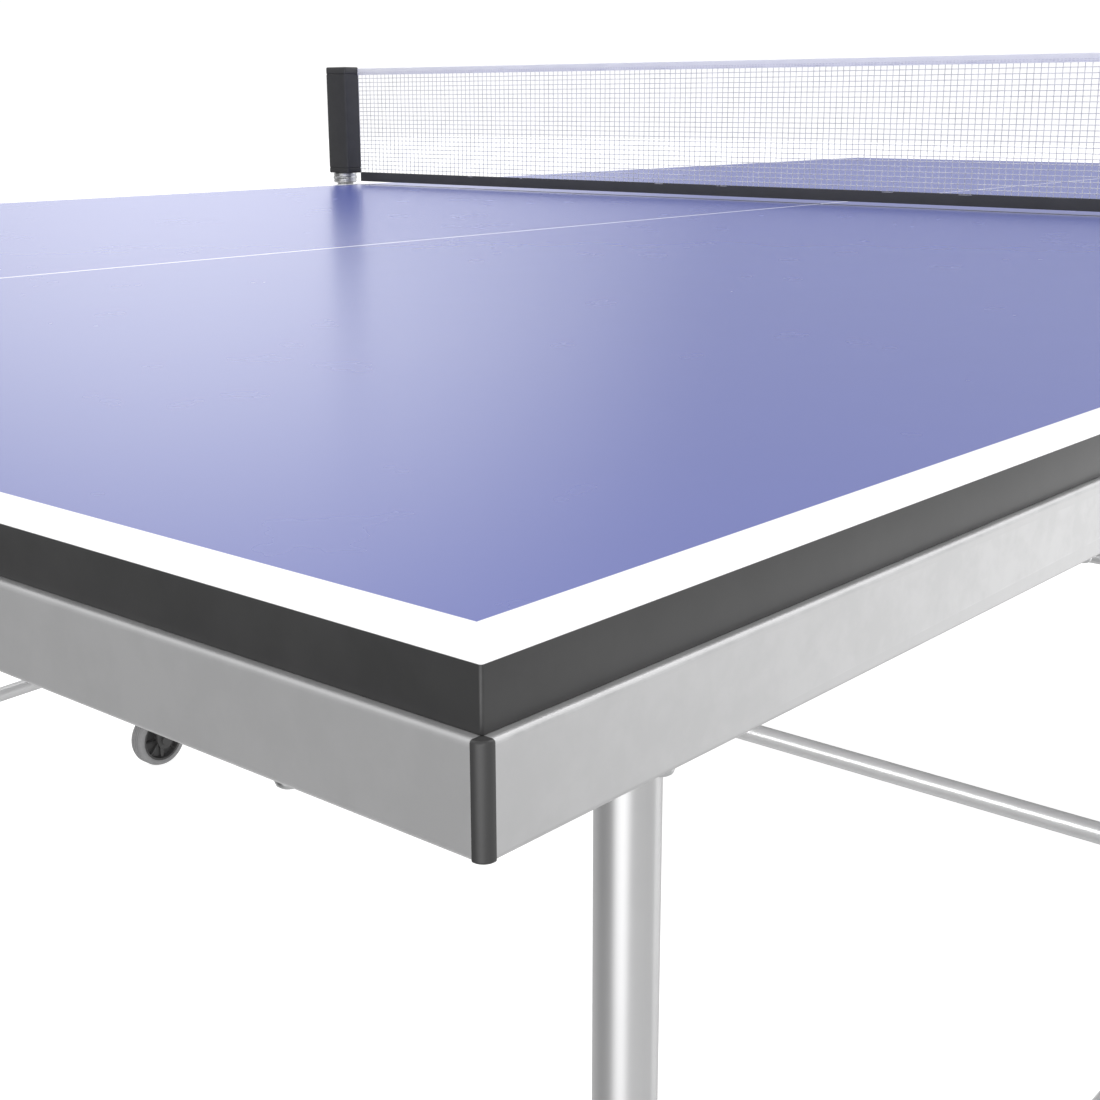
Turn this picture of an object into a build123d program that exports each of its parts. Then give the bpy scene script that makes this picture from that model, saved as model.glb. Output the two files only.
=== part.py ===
"""Folding indoor table-tennis table: two hinged tops on a central rolling trolley.

Millimetres. Origin on the floor under the middle of the net, +X along the length,
+Y across the width, +Z up. Half "a" lies at -X and half "b" at +X.
"""
import os
from build123d import *

# ---- driving dimensions -------------------------------------------------------------
table_length = 2740.0
table_width = 1525.0
table_height = 760.0
half_gap = 6.0              # open joint between the two tops, under the net

board_thickness = 16.0
band_thickness = 2.0        # black edge band round each top

rail_height = 28.0          # steel rails under the board's rim
rail_depth = 20.0
rail_wall = 1.5
rail_proud = 3.0            # how far the rails stand outside the edge band
rail_round = 2.0
corner_size = 3.8           # visible side of each plastic corner cover
corner_round = 3.3
corner_edge_round = 0.8
tongue_length = 14.0

rail_screw_pitch = 250.0
rail_screw_margin = 72.0    # first screw from the end of a rail
screw_head_r = 4.5
screw_head_height = 4.2     # with its washer
screw_inset = 8.0           # screw to the rail's outer face
screw_shank_r = 2.0
screw_shank_length = 7.0
screw_clearance = 0.2

fold_x = 398.0              # main pivot of each half, from the net line
fold_drop = 32.0            # main pivot below the playing surface
fold_pin_r = 6.0
fold_plate = 4.0
fold_plate_half = 40.0
running_fit = 0.05          # radial clearance of a pin in its bore

leg_end_inset = 250.0       # leg to the free end of the table
leg_side_inset = 155.5      # leg to the side of the table
leg_r = 14.0
leg_wall = 1.5
leg_pin_drop = 54.0         # leg hinge below the playing surface
leg_pin_r = 5.0
leg_top_over = 17.0         # tube above its hinge pin
leg_bottom = 24.0
leg_bar_r = 10.0
leg_bar_heights = (180.0, 640.0)
bracket_wall = 2.5
bracket_side_gap = 1.0
bracket_reach = 26.0

foot_r = 21.0
foot_height = 15.0
stem_r = 5.0
stem_top = 46.0
plug_height = 26.0

rod_gap = 9.0               # between a leg and its link rod
rod_r = 8.0
rod_wall = 1.2
rod_eye_r = 11.0
rod_eye_width = 16.0
rod_pin_r = 4.0
rod_offset = 24.0           # rod pivots outboard of the fold pivot and of the leg
rod_height = 228.0          # rod pivot on the trolley
lug_wall = 3.0
lug_gap = 1.0

frame_r = 11.0              # trolley tubes
frame_wall = 1.5
frame_gap = 2.0             # trolley side frames stand clear of the rails
base_rise = 24.0            # base tube above the castor's crown
cross_r = 9.0
cross_height = 301.0
boss_r = 17.0
spacer_r = 11.0
spacer_gap = 0.6
base_overhang = 26.0
plug_cap = 3.0

wheel_r = 37.5
wheel_width = 24.0
wheel_trail = 20.0
axle_r = 4.0
fork_wall = 3.0
fork_gap = 2.0
crown_rise = 9.0            # top of the castor's crown above its wheel
crown_gap = 3.0
stem_bolt_r = 6.0
socket_r = 15.0

net_height = 155.5
net_thickness = 2.0
net_tape = 9.0
net_band = 12.5
net_clear = 4.0             # under the net, above the playing surface
collar_clear = 1.5          # under the collars, above the playing surface
net_post_x = 26.0
net_post_back = 2.0         # back of the posts behind the net's middle plane
net_post_inset = 17.0       # posts overlap the table's sides by this much
net_post_width = 39.5
net_post_top = 157.0        # above the playing surface
net_collar_r = 16.5
net_collar_height = 14.0
net_post_round = 3.0

knob_r = 13.0
knob_length = 12.0
knob_pin_r = 4.0
knob_offset = 34.0          # lock plunger outboard of the fold pivot
knob_gap = 0.8

# ---- derived places -----------------------------------------------------------------
half_length = table_length / 2
half_width = table_width / 2
board_bottom = table_height - board_thickness
rail_bottom = board_bottom - rail_height
rail_out_x = half_length + rail_proud
rail_out_y = half_width + rail_proud
inner_x = half_gap / 2
leg_x = half_length - leg_end_inset
leg_y = half_width - leg_side_inset
rod_y = leg_y + leg_r + rod_gap + rod_r
fork_crown_top = 2 * wheel_r + crown_rise
base_height = fork_crown_top + base_rise
net_post_inner = half_width - net_post_inset
fold_z = table_height - fold_drop
leg_pin_z = table_height - leg_pin_drop
frame_y = rail_out_y + frame_gap + frame_r
rod_trolley = (-fold_x - rod_offset, rod_height)
rod_leg = (-leg_x - rod_offset, rod_height - (fold_z - leg_pin_z))
swivel_x = fold_x
net_bottom = table_height + net_clear

os.makedirs("parts", exist_ok=True)


# ---- small helpers ------------------------------------------------------------------
def block(x0, x1, y0, y1, z0, z1):
    """Box between two corners."""
    centre = Pos((x0 + x1) / 2, (y0 + y1) / 2, (z0 + z1) / 2)
    return centre * Box(abs(x1 - x0), abs(y1 - y0), abs(z1 - z0))


def rod(start, end, radius):
    """Solid round bar from start to end."""
    start, end = Vector(*start), Vector(*end)
    plane = Plane(origin=start, z_dir=end - start)
    length = (end - start).length
    return plane * Cylinder(radius, length, align=(Align.CENTER, Align.CENTER, Align.MIN))


def tube(start, end, radius, wall):
    """Round tube from start to end."""
    return rod(start, end, radius) - rod(start, end, radius - wall)


def y_disc(x, z, y0, y1, radius):
    """Round bar along Y."""
    return rod((x, y0, z), (x, y1, z), radius)


def both_sides(pieces):
    """The near pieces and their mirror images on the far side."""
    return list(pieces) + [mirror(p, about=Plane.XZ) for p in pieces]


def four_corners(pieces):
    """Pieces made at -X, -Y, with their images in the other three quarters."""
    near = list(pieces) + [mirror(p, about=Plane.YZ) for p in pieces]
    return both_sides(near)


def save(name, pieces):
    """Write one node from a list of separate solids."""
    solids = [s for p in pieces for s in p.solids()]
    shape = solids[0] if len(solids) == 1 else Compound(children=solids)
    export_step(shape, f"parts/{name}.step")


def save_halves(name, pieces):
    """Write a node of half a and its mirror image of half b."""
    pieces = list(pieces)
    save(name.format("a"), pieces)
    save(name.format("b"), [mirror(p, about=Plane.YZ) for p in pieces])


# ---- top ----------------------------------------------------------------------------
def board():
    """Chipboard panel inside its edge band."""
    reach = half_width - band_thickness
    return block(-half_length + band_thickness, -inner_x - band_thickness,
                 -reach, reach, board_bottom, table_height)


def edge_band():
    """Four strips round the board."""
    long_side = block(-half_length, -inner_x, -half_width, -half_width + band_thickness,
                      board_bottom, table_height)
    strips = both_sides([long_side])
    reach = half_width - band_thickness
    for x0 in (-half_length, -inner_x - band_thickness):
        strips.append(block(x0, x0 + band_thickness, -reach, reach,
                            board_bottom, table_height))
    return strips


def channel_profile():
    """Section of a rail: web on the outside, flanges pointing in, outer corners round."""
    outer = Rectangle(rail_depth, rail_height)
    hollow = Pos(rail_wall, 0) * Rectangle(rail_depth, rail_height - 2 * rail_wall)
    section = outer - hollow
    left = section.vertices().group_by(Axis.X)[0]
    return fillet(left, rail_round)


def channel(start, inward, length):
    """Rail of the given length whose web's outer face passes through start."""
    direction = Vector(*inward)
    plane = Plane(origin=Vector(*start) + direction * (rail_depth / 2),
                  x_dir=direction, z_dir=direction.cross(Vector(0, 0, 1)))
    return extrude(plane * channel_profile(), length)


def rail_screw_places():
    """(x, y) of every rail screw of half a."""
    places = []
    x = -rail_out_x + rail_screw_margin
    while x < -inner_x - rail_screw_margin:
        places += [(x, -rail_out_y + screw_inset), (x, rail_out_y - screw_inset)]
        x += rail_screw_pitch
    y = rail_out_y - rail_screw_margin
    while y > 0:
        places += [(-rail_out_x + screw_inset, y), (-rail_out_x + screw_inset, -y)]
        y -= rail_screw_pitch
    return places


def rail_screws():
    """Pan-head screws up through the lower flanges."""
    screws = []
    for x, y in rail_screw_places():
        head = rod((x, y, rail_bottom - screw_head_height), (x, y, rail_bottom), screw_head_r)
        lower = head.edges().group_by(Axis.Z)[0]
        head = fillet(lower, screw_head_height / 2)
        shank = rod((x, y, rail_bottom), (x, y, rail_bottom + screw_shank_length),
                    screw_shank_r)
        screws.append(head + shank)
    return screws


def drilled(rail):
    """A rail with its screw holes."""
    bounds = rail.bounding_box()
    for x, y in rail_screw_places():
        if bounds.min.X < x < bounds.max.X and bounds.min.Y < y < bounds.max.Y:
            rail -= rod((x, y, rail_bottom - 1), (x, y, rail_bottom + 2 * rail_wall),
                        screw_shank_r + screw_clearance)
    return rail


def side_rail():
    """Near side rail: web runs on to the corner cover, flanges stop at the end rail."""
    mid = board_bottom - rail_height / 2
    corner_x = -rail_out_x + corner_size
    flange_x = -rail_out_x + rail_depth + 0.5
    length = -inner_x - corner_size - corner_x
    rail = channel((corner_x, -rail_out_y, mid), (0, 1, 0), length)
    rail -= block(corner_x - 1, flange_x, -rail_out_y + corner_size, -rail_out_y + rail_depth + 1,
                  rail_bottom - 1, board_bottom + 1)
    rail -= y_disc(-fold_x, fold_z, -rail_out_y - 1, -rail_out_y + rail_wall + 1,
                   fold_pin_r + 1)
    return drilled(rail)


def end_rail():
    """Rail across the free end."""
    mid = board_bottom - rail_height / 2
    reach = rail_out_y - corner_size
    rail = channel((-rail_out_x, reach, mid), (1, 0, 0), 2 * reach)
    return drilled(rail)


def inner_rail():
    """Plain box rail across the board beside the net."""
    reach = rail_out_y - rail_depth - 1
    x1 = -inner_x - corner_size
    outer = block(x1 - rail_depth, x1, -reach, reach, rail_bottom, board_bottom)
    bore = block(x1 - rail_depth + rail_wall, x1 - rail_wall, -reach, reach,
                 rail_bottom + rail_wall, board_bottom - rail_wall)
    return outer - bore


def corner_cover():
    """Plastic cover that closes the corner between a side rail and the end rail."""
    x0, y0 = -rail_out_x, -rail_out_y
    cover = block(x0, x0 + corner_size, y0, y0 + corner_size, rail_bottom, board_bottom)
    upright = cover.edges().filter_by(Axis.Z).sort_by(Axis.X)[:2].sort_by(Axis.Y)[0]
    cover = fillet(upright, corner_round)
    rims = cover.edges().filter_by(GeomType.CIRCLE)
    cover = fillet(rims, corner_edge_round)
    inside = y0 + rail_wall
    tongue = block(x0 + corner_size, x0 + corner_size + tongue_length, inside, inside + 2,
                   rail_bottom + 2 * rail_wall, board_bottom - 2 * rail_wall)
    return cover + tongue


def fold_bracket():
    """Plate behind the side rail, screwed to the board, that turns on the fold pin."""
    y0 = -rail_out_y + rail_depth + 0.5
    plate = block(-fold_x - fold_plate_half, -fold_x + fold_plate_half, y0, y0 + fold_plate,
                  rail_bottom, board_bottom)
    foot = block(-fold_x - fold_plate_half, -fold_x + fold_plate_half, y0, y0 + 24,
                 board_bottom - fold_plate, board_bottom)
    bored = plate + foot - y_disc(-fold_x, fold_z, y0 - 1, y0 + fold_plate + 1,
                                  fold_pin_r + running_fit)
    return bored


def leg_bracket():
    """U bracket under the board that carries the leg's hinge pin, open towards the net."""
    inside = leg_r + bracket_side_gap
    outside = inside + bracket_wall
    low = leg_pin_z - 12
    x0, x1 = -leg_x - bracket_reach, -leg_x + bracket_reach
    body = block(x0, x1, -leg_y - outside, -leg_y + outside, low, board_bottom)
    body -= block(x0 + bracket_wall, x1 + 1, -leg_y - inside, -leg_y + inside,
                  low - 1, board_bottom - bracket_wall)
    body -= y_disc(-leg_x, leg_pin_z, -leg_y - outside - 1, -leg_y + outside + 1,
                   leg_pin_r + running_fit)
    return body


def leg_pin():
    """Hinge bolt with a head on each side of the bracket."""
    outside = leg_r + bracket_side_gap + bracket_wall
    pin = y_disc(-leg_x, leg_pin_z, -leg_y - outside, -leg_y + outside, leg_pin_r)
    for sign in (-1, 1):
        y = -leg_y + sign * outside
        pin += y_disc(-leg_x, leg_pin_z, y, y + sign * 4, leg_pin_r + 3)
    return pin


# ---- legs ---------------------------------------------------------------------------
def leg_core():
    """Outer cylinder of the near leg, for saddle cuts."""
    return rod((-leg_x, -leg_y, leg_bottom), (-leg_x, -leg_y, leg_pin_z + leg_top_over), leg_r)


def leg_tube():
    """Near leg of half a, bored for its hinge pin."""
    leg = tube((-leg_x, -leg_y, leg_bottom), (-leg_x, -leg_y, leg_pin_z + leg_top_over),
               leg_r, leg_wall)
    return leg - y_disc(-leg_x, leg_pin_z, -leg_y - leg_r - 1, -leg_y + leg_r + 1,
                        leg_pin_r + running_fit)


def leg_bars():
    """Tubes that tie the two legs."""
    cut = both_sides([leg_core()])
    bars = []
    for z in leg_bar_heights:
        bar = tube((-leg_x, -leg_y, z), (-leg_x, leg_y, z), leg_bar_r, leg_wall)
        bars.append(bar - cut[0] - cut[1])
    return bars


def foot_plug():
    """Plastic insert in the leg's lower end, threaded for the foot."""
    plug = rod((-leg_x, -leg_y, leg_bottom), (-leg_x, -leg_y, leg_bottom + plug_height),
               leg_r - leg_wall)
    rim = rod((-leg_x, -leg_y, leg_bottom - plug_cap), (-leg_x, -leg_y, leg_bottom), leg_r)
    bore = rod((-leg_x, -leg_y, leg_bottom - plug_cap - 1),
               (-leg_x, -leg_y, leg_bottom + plug_height + 1), stem_r + running_fit)
    return plug + rim - bore


def foot():
    """Levelling foot on its threaded stem."""
    pad = rod((-leg_x, -leg_y, 0), (-leg_x, -leg_y, foot_height), foot_r)
    pad = fillet(pad.edges().group_by(Axis.Z)[-1], 6)
    pad = chamfer(pad.edges().group_by(Axis.Z)[0], 1.5)
    stem = rod((-leg_x, -leg_y, foot_height), (-leg_x, -leg_y, stem_top), stem_r)
    return pad + stem


def leg_lug():
    """Block on the leg's outer side with the pin that the link rod turns on."""
    x, z = rod_leg
    y_rod = -rod_y
    y_face = y_rod + rod_eye_width / 2 + lug_gap
    outer = block(x - 9, -leg_x + 6, y_face, y_face + 8, z - 11, z + 11) - leg_core()
    pin = y_disc(x, z, y_face, y_rod - rod_eye_width / 2 - lug_gap, rod_pin_r)
    head = y_disc(x, z, y_rod - rod_eye_width / 2 - lug_gap,
                  y_rod - rod_eye_width / 2 - lug_gap - 3, rod_pin_r + 3)
    return outer + pin + head


# ---- link rods ----------------------------------------------------------------------
def link_rod():
    """Near link rod of half a: tube with an eye at each end."""
    (x0, z0), (x1, z1) = rod_leg, rod_trolley
    bar = tube((x0, -rod_y, z0), (x1, -rod_y, z1), rod_r, rod_wall)
    y0, y1 = -rod_y - rod_eye_width / 2, -rod_y + rod_eye_width / 2
    for x, z in (rod_leg, rod_trolley):
        bar = bar - y_disc(x, z, y0 - 1, y1 + 1, rod_eye_r) + y_disc(x, z, y0, y1, rod_eye_r)
    for x, z in (rod_leg, rod_trolley):
        bar -= y_disc(x, z, y0 - 1, y1 + 1, rod_pin_r + running_fit)
    return bar


# ---- trolley ------------------------------------------------------------------------
def base_reach():
    """Half length of a base tube."""
    return swivel_x + base_overhang


def base_core():
    """Outer cylinder of the near base tube."""
    return rod((-base_reach(), -frame_y, base_height), (base_reach(), -frame_y, base_height),
               frame_r)


def base_tube():
    """Near base tube, along the floor between two castors."""
    return base_core() - rod((-base_reach(), -frame_y, base_height),
                             (base_reach(), -frame_y, base_height), frame_r - frame_wall)


def base_plugs():
    """Caps in the two ends of the near base tube."""
    caps = []
    for sign in (-1, 1):
        x = sign * base_reach()
        neck = rod((x, -frame_y, base_height), (x - sign * 12, -frame_y, base_height),
                   frame_r - frame_wall)
        cap = rod((x, -frame_y, base_height), (x + sign * plug_cap, -frame_y, base_height),
                  frame_r)
        caps.append(neck + cap)
    return caps


def fold_boss():
    """Welded boss at the top of a fold post."""
    return y_disc(-fold_x, fold_z, -frame_y - frame_r, -frame_y + frame_r, boss_r)


def post_core():
    """Outer cylinder of a fold post."""
    return rod((-fold_x, -frame_y, base_height), (-fold_x, -frame_y, fold_z), frame_r)


def fold_post():
    """Upright from the base tube to the fold pin, with its boss."""
    post = tube((-fold_x, -frame_y, base_height), (-fold_x, -frame_y, fold_z),
                frame_r, frame_wall)
    bore = y_disc(-fold_x, fold_z, -frame_y - frame_r - 1, -frame_y + frame_r + 1, fold_pin_r)
    return post - base_core() - fold_boss() + (fold_boss() - bore)


def fold_pin():
    """Main hinge bolt, with its head outside and a spacer beside the rail."""
    y_out = -frame_y - frame_r
    y_in = -rail_out_y + rail_depth + 0.5 + fold_plate
    pin = y_disc(-fold_x, fold_z, y_out, y_in + 3, fold_pin_r)
    head = y_disc(-fold_x, fold_z, y_out - 6, y_out, fold_pin_r + 4)
    spacer = y_disc(-fold_x, fold_z, -frame_y + frame_r, -rail_out_y - spacer_gap, spacer_r)
    return pin + head + spacer


def net_column():
    """Upright from the base tube to the net post."""
    column = tube((0, -frame_y, base_height), (0, -frame_y, table_height + collar_clear),
                  frame_r, frame_wall)
    return column - base_core()


def cross_tube():
    """Tube across the trolley between two fold posts."""
    bar = tube((-fold_x, -frame_y, cross_height), (-fold_x, frame_y, cross_height),
               cross_r, frame_wall)
    for post in both_sides([post_core()]):
        bar -= post
    return bar


def rod_lug():
    """Two plates hung on the cross tube, with the link rod's pin."""
    x, z = rod_trolley
    inner = rod_eye_width / 2 + lug_gap
    plates = None
    for sign in (-1, 1):
        y0 = -rod_y + sign * inner
        y1 = y0 + sign * lug_wall
        plate = lug_plate(x, z, y0, y1)
        plates = plate if plates is None else plates + plate
    pin = y_disc(x, z, -rod_y - inner - lug_wall - 3, -rod_y + inner + lug_wall + 3, rod_pin_r)
    tube_cut = y_disc(-fold_x, cross_height, -rod_y - 40, -rod_y + 40, cross_r)
    return plates - tube_cut + pin


def lug_plate(x, z, y0, y1):
    """Plate that tapers from the cross tube down to the rod pin."""
    top = y_disc(-fold_x, cross_height, y0, y1, cross_r + 5)
    eye = y_disc(x, z, y0, y1, rod_eye_r)
    span = Vector(x + fold_x, 0, z - cross_height)
    side = Vector(span.Z, 0, -span.X).normalized() * (rod_eye_r - 1)
    centre_top = Vector(-fold_x, y0, cross_height)
    centre_low = Vector(x, y0, z)
    corners = [centre_top + side, centre_low + side, centre_low - side, centre_top - side]
    face = make_face(Polyline(*corners, close=True))
    web = extrude(face, amount=abs(y1 - y0), dir=(0, 1 if y1 > y0 else -1, 0))
    return top + eye + web


# ---- castors ------------------------------------------------------------------------
def castor_socket():
    """Cup under the base tube that holds the castor's stem."""
    cup = rod((-swivel_x, -frame_y, fork_crown_top + 2), (-swivel_x, -frame_y, base_height),
              socket_r)
    bore = rod((-swivel_x, -frame_y, fork_crown_top + 1),
               (-swivel_x, -frame_y, base_height - frame_r - 1), stem_bolt_r + running_fit)
    return cup - base_core() - bore


def castor_fork():
    """Fork with crown, two cheeks, stem and axle of the near castor of half a."""
    x, y = -swivel_x, -frame_y
    wheel_x = x + wheel_trail
    inner = wheel_width / 2 + fork_gap
    crown_low = 2 * wheel_r + crown_gap
    crown = rod((x, y, crown_low), (x, y, fork_crown_top), inner + fork_wall)
    crown += block(x, wheel_x + 8, y - inner - fork_wall, y + inner + fork_wall,
                   crown_low, fork_crown_top - 2)
    body = crown
    for sign in (-1, 1):
        y0 = y + sign * inner
        y1 = y0 + sign * fork_wall
        eye = y_disc(wheel_x, wheel_r, y0, y1, 12)
        arm = block(wheel_x - 13, wheel_x + 8, y0, y1, wheel_r, crown_low)
        body += eye + arm
    stem = rod((x, y, fork_crown_top), (x, y, base_height - frame_r - 3), stem_bolt_r)
    axle = y_disc(wheel_x, wheel_r, y - inner - fork_wall, y + inner + fork_wall, axle_r)
    caps = y_disc(wheel_x, wheel_r, y - inner - fork_wall - 3, y - inner - fork_wall, 7)
    caps += y_disc(wheel_x, wheel_r, y + inner + fork_wall, y + inner + fork_wall + 3, 7)
    return body + stem + axle + caps


def castor_wheel():
    """Wheel with a rounded tread."""
    x, y = -swivel_x + wheel_trail, -frame_y
    half = wheel_width / 2
    wheel = y_disc(x, wheel_r, y - half, y + half, wheel_r)
    wheel = fillet(wheel.edges().filter_by(GeomType.CIRCLE), 5)
    for sign in (-1, 1):
        dish = y_disc(x, wheel_r, y + sign * half, y + sign * (half - 4), wheel_r - 10)
        hub = y_disc(x, wheel_r, y + sign * half, y + sign * (half - 4), 10)
        wheel = wheel - (dish - hub)
    return wheel - y_disc(x, wheel_r, y - half - 1, y + half + 1, axle_r + running_fit)


# ---- net ----------------------------------------------------------------------------
def net_post():
    """Moulded upright at the near end of the net."""
    y0 = -net_post_inner - net_post_width
    z0 = table_height + net_collar_height + collar_clear
    x1 = net_post_back
    post = block(x1 - net_post_x, x1, y0, -net_post_inner, z0,
                 table_height + net_post_top)
    post = fillet(post.edges().filter_by(Axis.Z), net_post_round)
    return fillet(post.edges().group_by(Axis.Z)[-1], net_post_round / 2)


def net_collar():
    """Metal collar between the column and the net post."""
    z0 = table_height + collar_clear
    ring = rod((0, -frame_y, z0), (0, -frame_y, z0 + net_collar_height), net_collar_r)
    return fillet(ring.edges().filter_by(GeomType.CIRCLE), 2)


def net_strip(z0, z1, thickness):
    """One straight strip of the net, from post to post."""
    return block(-thickness / 2, thickness / 2, -net_post_inner, net_post_inner, z0, z1)


# ---- lock plungers ------------------------------------------------------------------
def lock_places():
    """Plunger axis (x, z) of half a and the height of its carrier plate."""
    return -fold_x - knob_offset, fold_z


def lock_carrier():
    """Plate from the fold boss that guides the lock plunger."""
    x, z = lock_places()
    y0 = -frame_y - 3
    plate = block(x - 9, -fold_x, y0, y0 + 6, z - 9, z + 9)
    plate = plate - fold_boss() - post_core()
    keep = min(plate.solids(), key=lambda s: s.center().X)
    return keep - y_disc(x, z, y0 - 1, y0 + 7, knob_pin_r + running_fit)


def lock_plunger():
    """Pull knob with its pin, which stops just short of the side rail at rest."""
    x, z = lock_places()
    y_plate = -frame_y - 3
    pin = y_disc(x, z, y_plate - 2, -rail_out_y - knob_gap, knob_pin_r)
    knob = y_disc(x, z, y_plate - 2, y_plate - 2 - knob_length, knob_r)
    knob = fillet(knob.edges().filter_by(GeomType.CIRCLE).group_by(Axis.Y)[0], 4)
    return pin + knob


# ---- write every node ---------------------------------------------------------------
def write_halves():
    """Both tops, their legs, feet and link rods."""
    save_halves("half_{}_board", [board()])
    save_halves("half_{}_edge_band", edge_band())
    save_halves("half_{}_side_rails", both_sides([side_rail()]))
    save_halves("half_{}_end_rail", [end_rail()])
    save_halves("half_{}_inner_rail", [inner_rail()])
    save_halves("half_{}_corner_covers", both_sides([corner_cover()]))
    save_halves("half_{}_rail_screws", rail_screws())
    save_halves("half_{}_fold_brackets", both_sides([fold_bracket()]))
    save_halves("half_{}_leg_brackets", both_sides([leg_bracket()]))
    save_halves("half_{}_leg_pins", both_sides([leg_pin()]))
    save_halves("legs_{}_tubes", both_sides([leg_tube()]))
    save_halves("legs_{}_bars", leg_bars())
    save_halves("legs_{}_rod_lugs", both_sides([leg_lug()]))
    save_halves("legs_{}_foot_plugs", both_sides([foot_plug()]))
    save_halves("foot_{}_near", [foot()])
    save_halves("foot_{}_far", [mirror(foot(), about=Plane.XZ)])
    save_halves("link_rods_{}", both_sides([link_rod()]))


def write_trolley():
    """The trolley's frame and what is fixed to it."""
    save("trolley_base_tubes", both_sides([base_tube()]))
    save("trolley_base_plugs", both_sides(base_plugs()))
    save("trolley_fold_posts", four_corners([fold_post()]))
    save("trolley_fold_pins", four_corners([fold_pin()]))
    save("trolley_net_columns", both_sides([net_column()]))
    save("trolley_cross_tubes", [cross_tube(), mirror(cross_tube(), about=Plane.YZ)])
    save("trolley_rod_lugs", four_corners([rod_lug()]))
    save("trolley_castor_sockets", four_corners([castor_socket()]))
    carrier = lock_carrier()
    save("trolley_lock_carriers", [carrier, mirror(carrier, about=Plane.YZ)])
    save_halves("lock_plunger_{}", [lock_plunger()])


def write_castors():
    """Four castors."""
    save_halves("castor_{}_near_fork", [castor_fork()])
    save_halves("castor_{}_near_wheel", [castor_wheel()])
    save_halves("castor_{}_far_fork", [mirror(castor_fork(), about=Plane.XZ)])
    save_halves("castor_{}_far_wheel", [mirror(castor_wheel(), about=Plane.XZ)])


def write_net():
    """Net, tapes and posts."""
    top = table_height + net_height
    save("net_posts", both_sides([net_post()]))
    save("net_collars", both_sides([net_collar()]))
    save("net_mesh", [net_strip(net_bottom + net_band, top - net_tape, net_thickness)])
    save("net_top_tape", [net_strip(top - net_tape, top, net_thickness)])
    save("net_bottom_band", [net_strip(net_bottom, net_bottom + net_band, net_thickness)])


write_halves()
write_trolley()
write_castors()
write_net()
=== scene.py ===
"""Finishes, net, fittings, studio and camera for a folding table-tennis table.

Metres. The origin is on the floor under the middle of the net, +X along the length,
+Y across the width, +Z up. Half "a" lies at -X and half "b" at +X.
"""
import logging
import math
from dataclasses import dataclass
from enum import Enum
from typing import Any, Callable, Iterable, Optional, Sequence, Union

import bmesh
import bpy
from mathutils import Matrix, Vector


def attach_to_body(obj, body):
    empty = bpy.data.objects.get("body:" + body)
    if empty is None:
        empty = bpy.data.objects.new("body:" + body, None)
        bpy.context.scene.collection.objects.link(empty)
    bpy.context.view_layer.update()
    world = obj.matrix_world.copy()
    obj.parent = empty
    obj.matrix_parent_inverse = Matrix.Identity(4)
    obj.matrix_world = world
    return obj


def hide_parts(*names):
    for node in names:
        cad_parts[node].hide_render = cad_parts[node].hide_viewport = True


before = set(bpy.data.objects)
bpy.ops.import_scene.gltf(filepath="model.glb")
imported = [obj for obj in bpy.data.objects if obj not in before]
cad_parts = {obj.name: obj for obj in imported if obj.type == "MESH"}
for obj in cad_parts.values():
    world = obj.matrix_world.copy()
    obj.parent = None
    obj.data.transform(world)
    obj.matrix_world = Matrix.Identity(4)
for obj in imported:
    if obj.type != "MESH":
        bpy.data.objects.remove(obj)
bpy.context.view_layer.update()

LOG = logging.getLogger("table")

Colour = tuple[float, float, float]
Point = tuple[float, float, float]
Feed = Union[float, Colour, bpy.types.NodeSocket]


class Half(Enum):
    """The two halves of the table."""

    A = -1
    B = 1

    @property
    def letter(self) -> str:
        """Letter used in the names of this half's bodies."""
        return self.name.lower()


class Side(Enum):
    """The two long sides of the table."""

    NEAR = -1
    FAR = 1

    @property
    def word(self) -> str:
        """Word used in the names of this side's bodies."""
        return self.name.lower()


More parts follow.
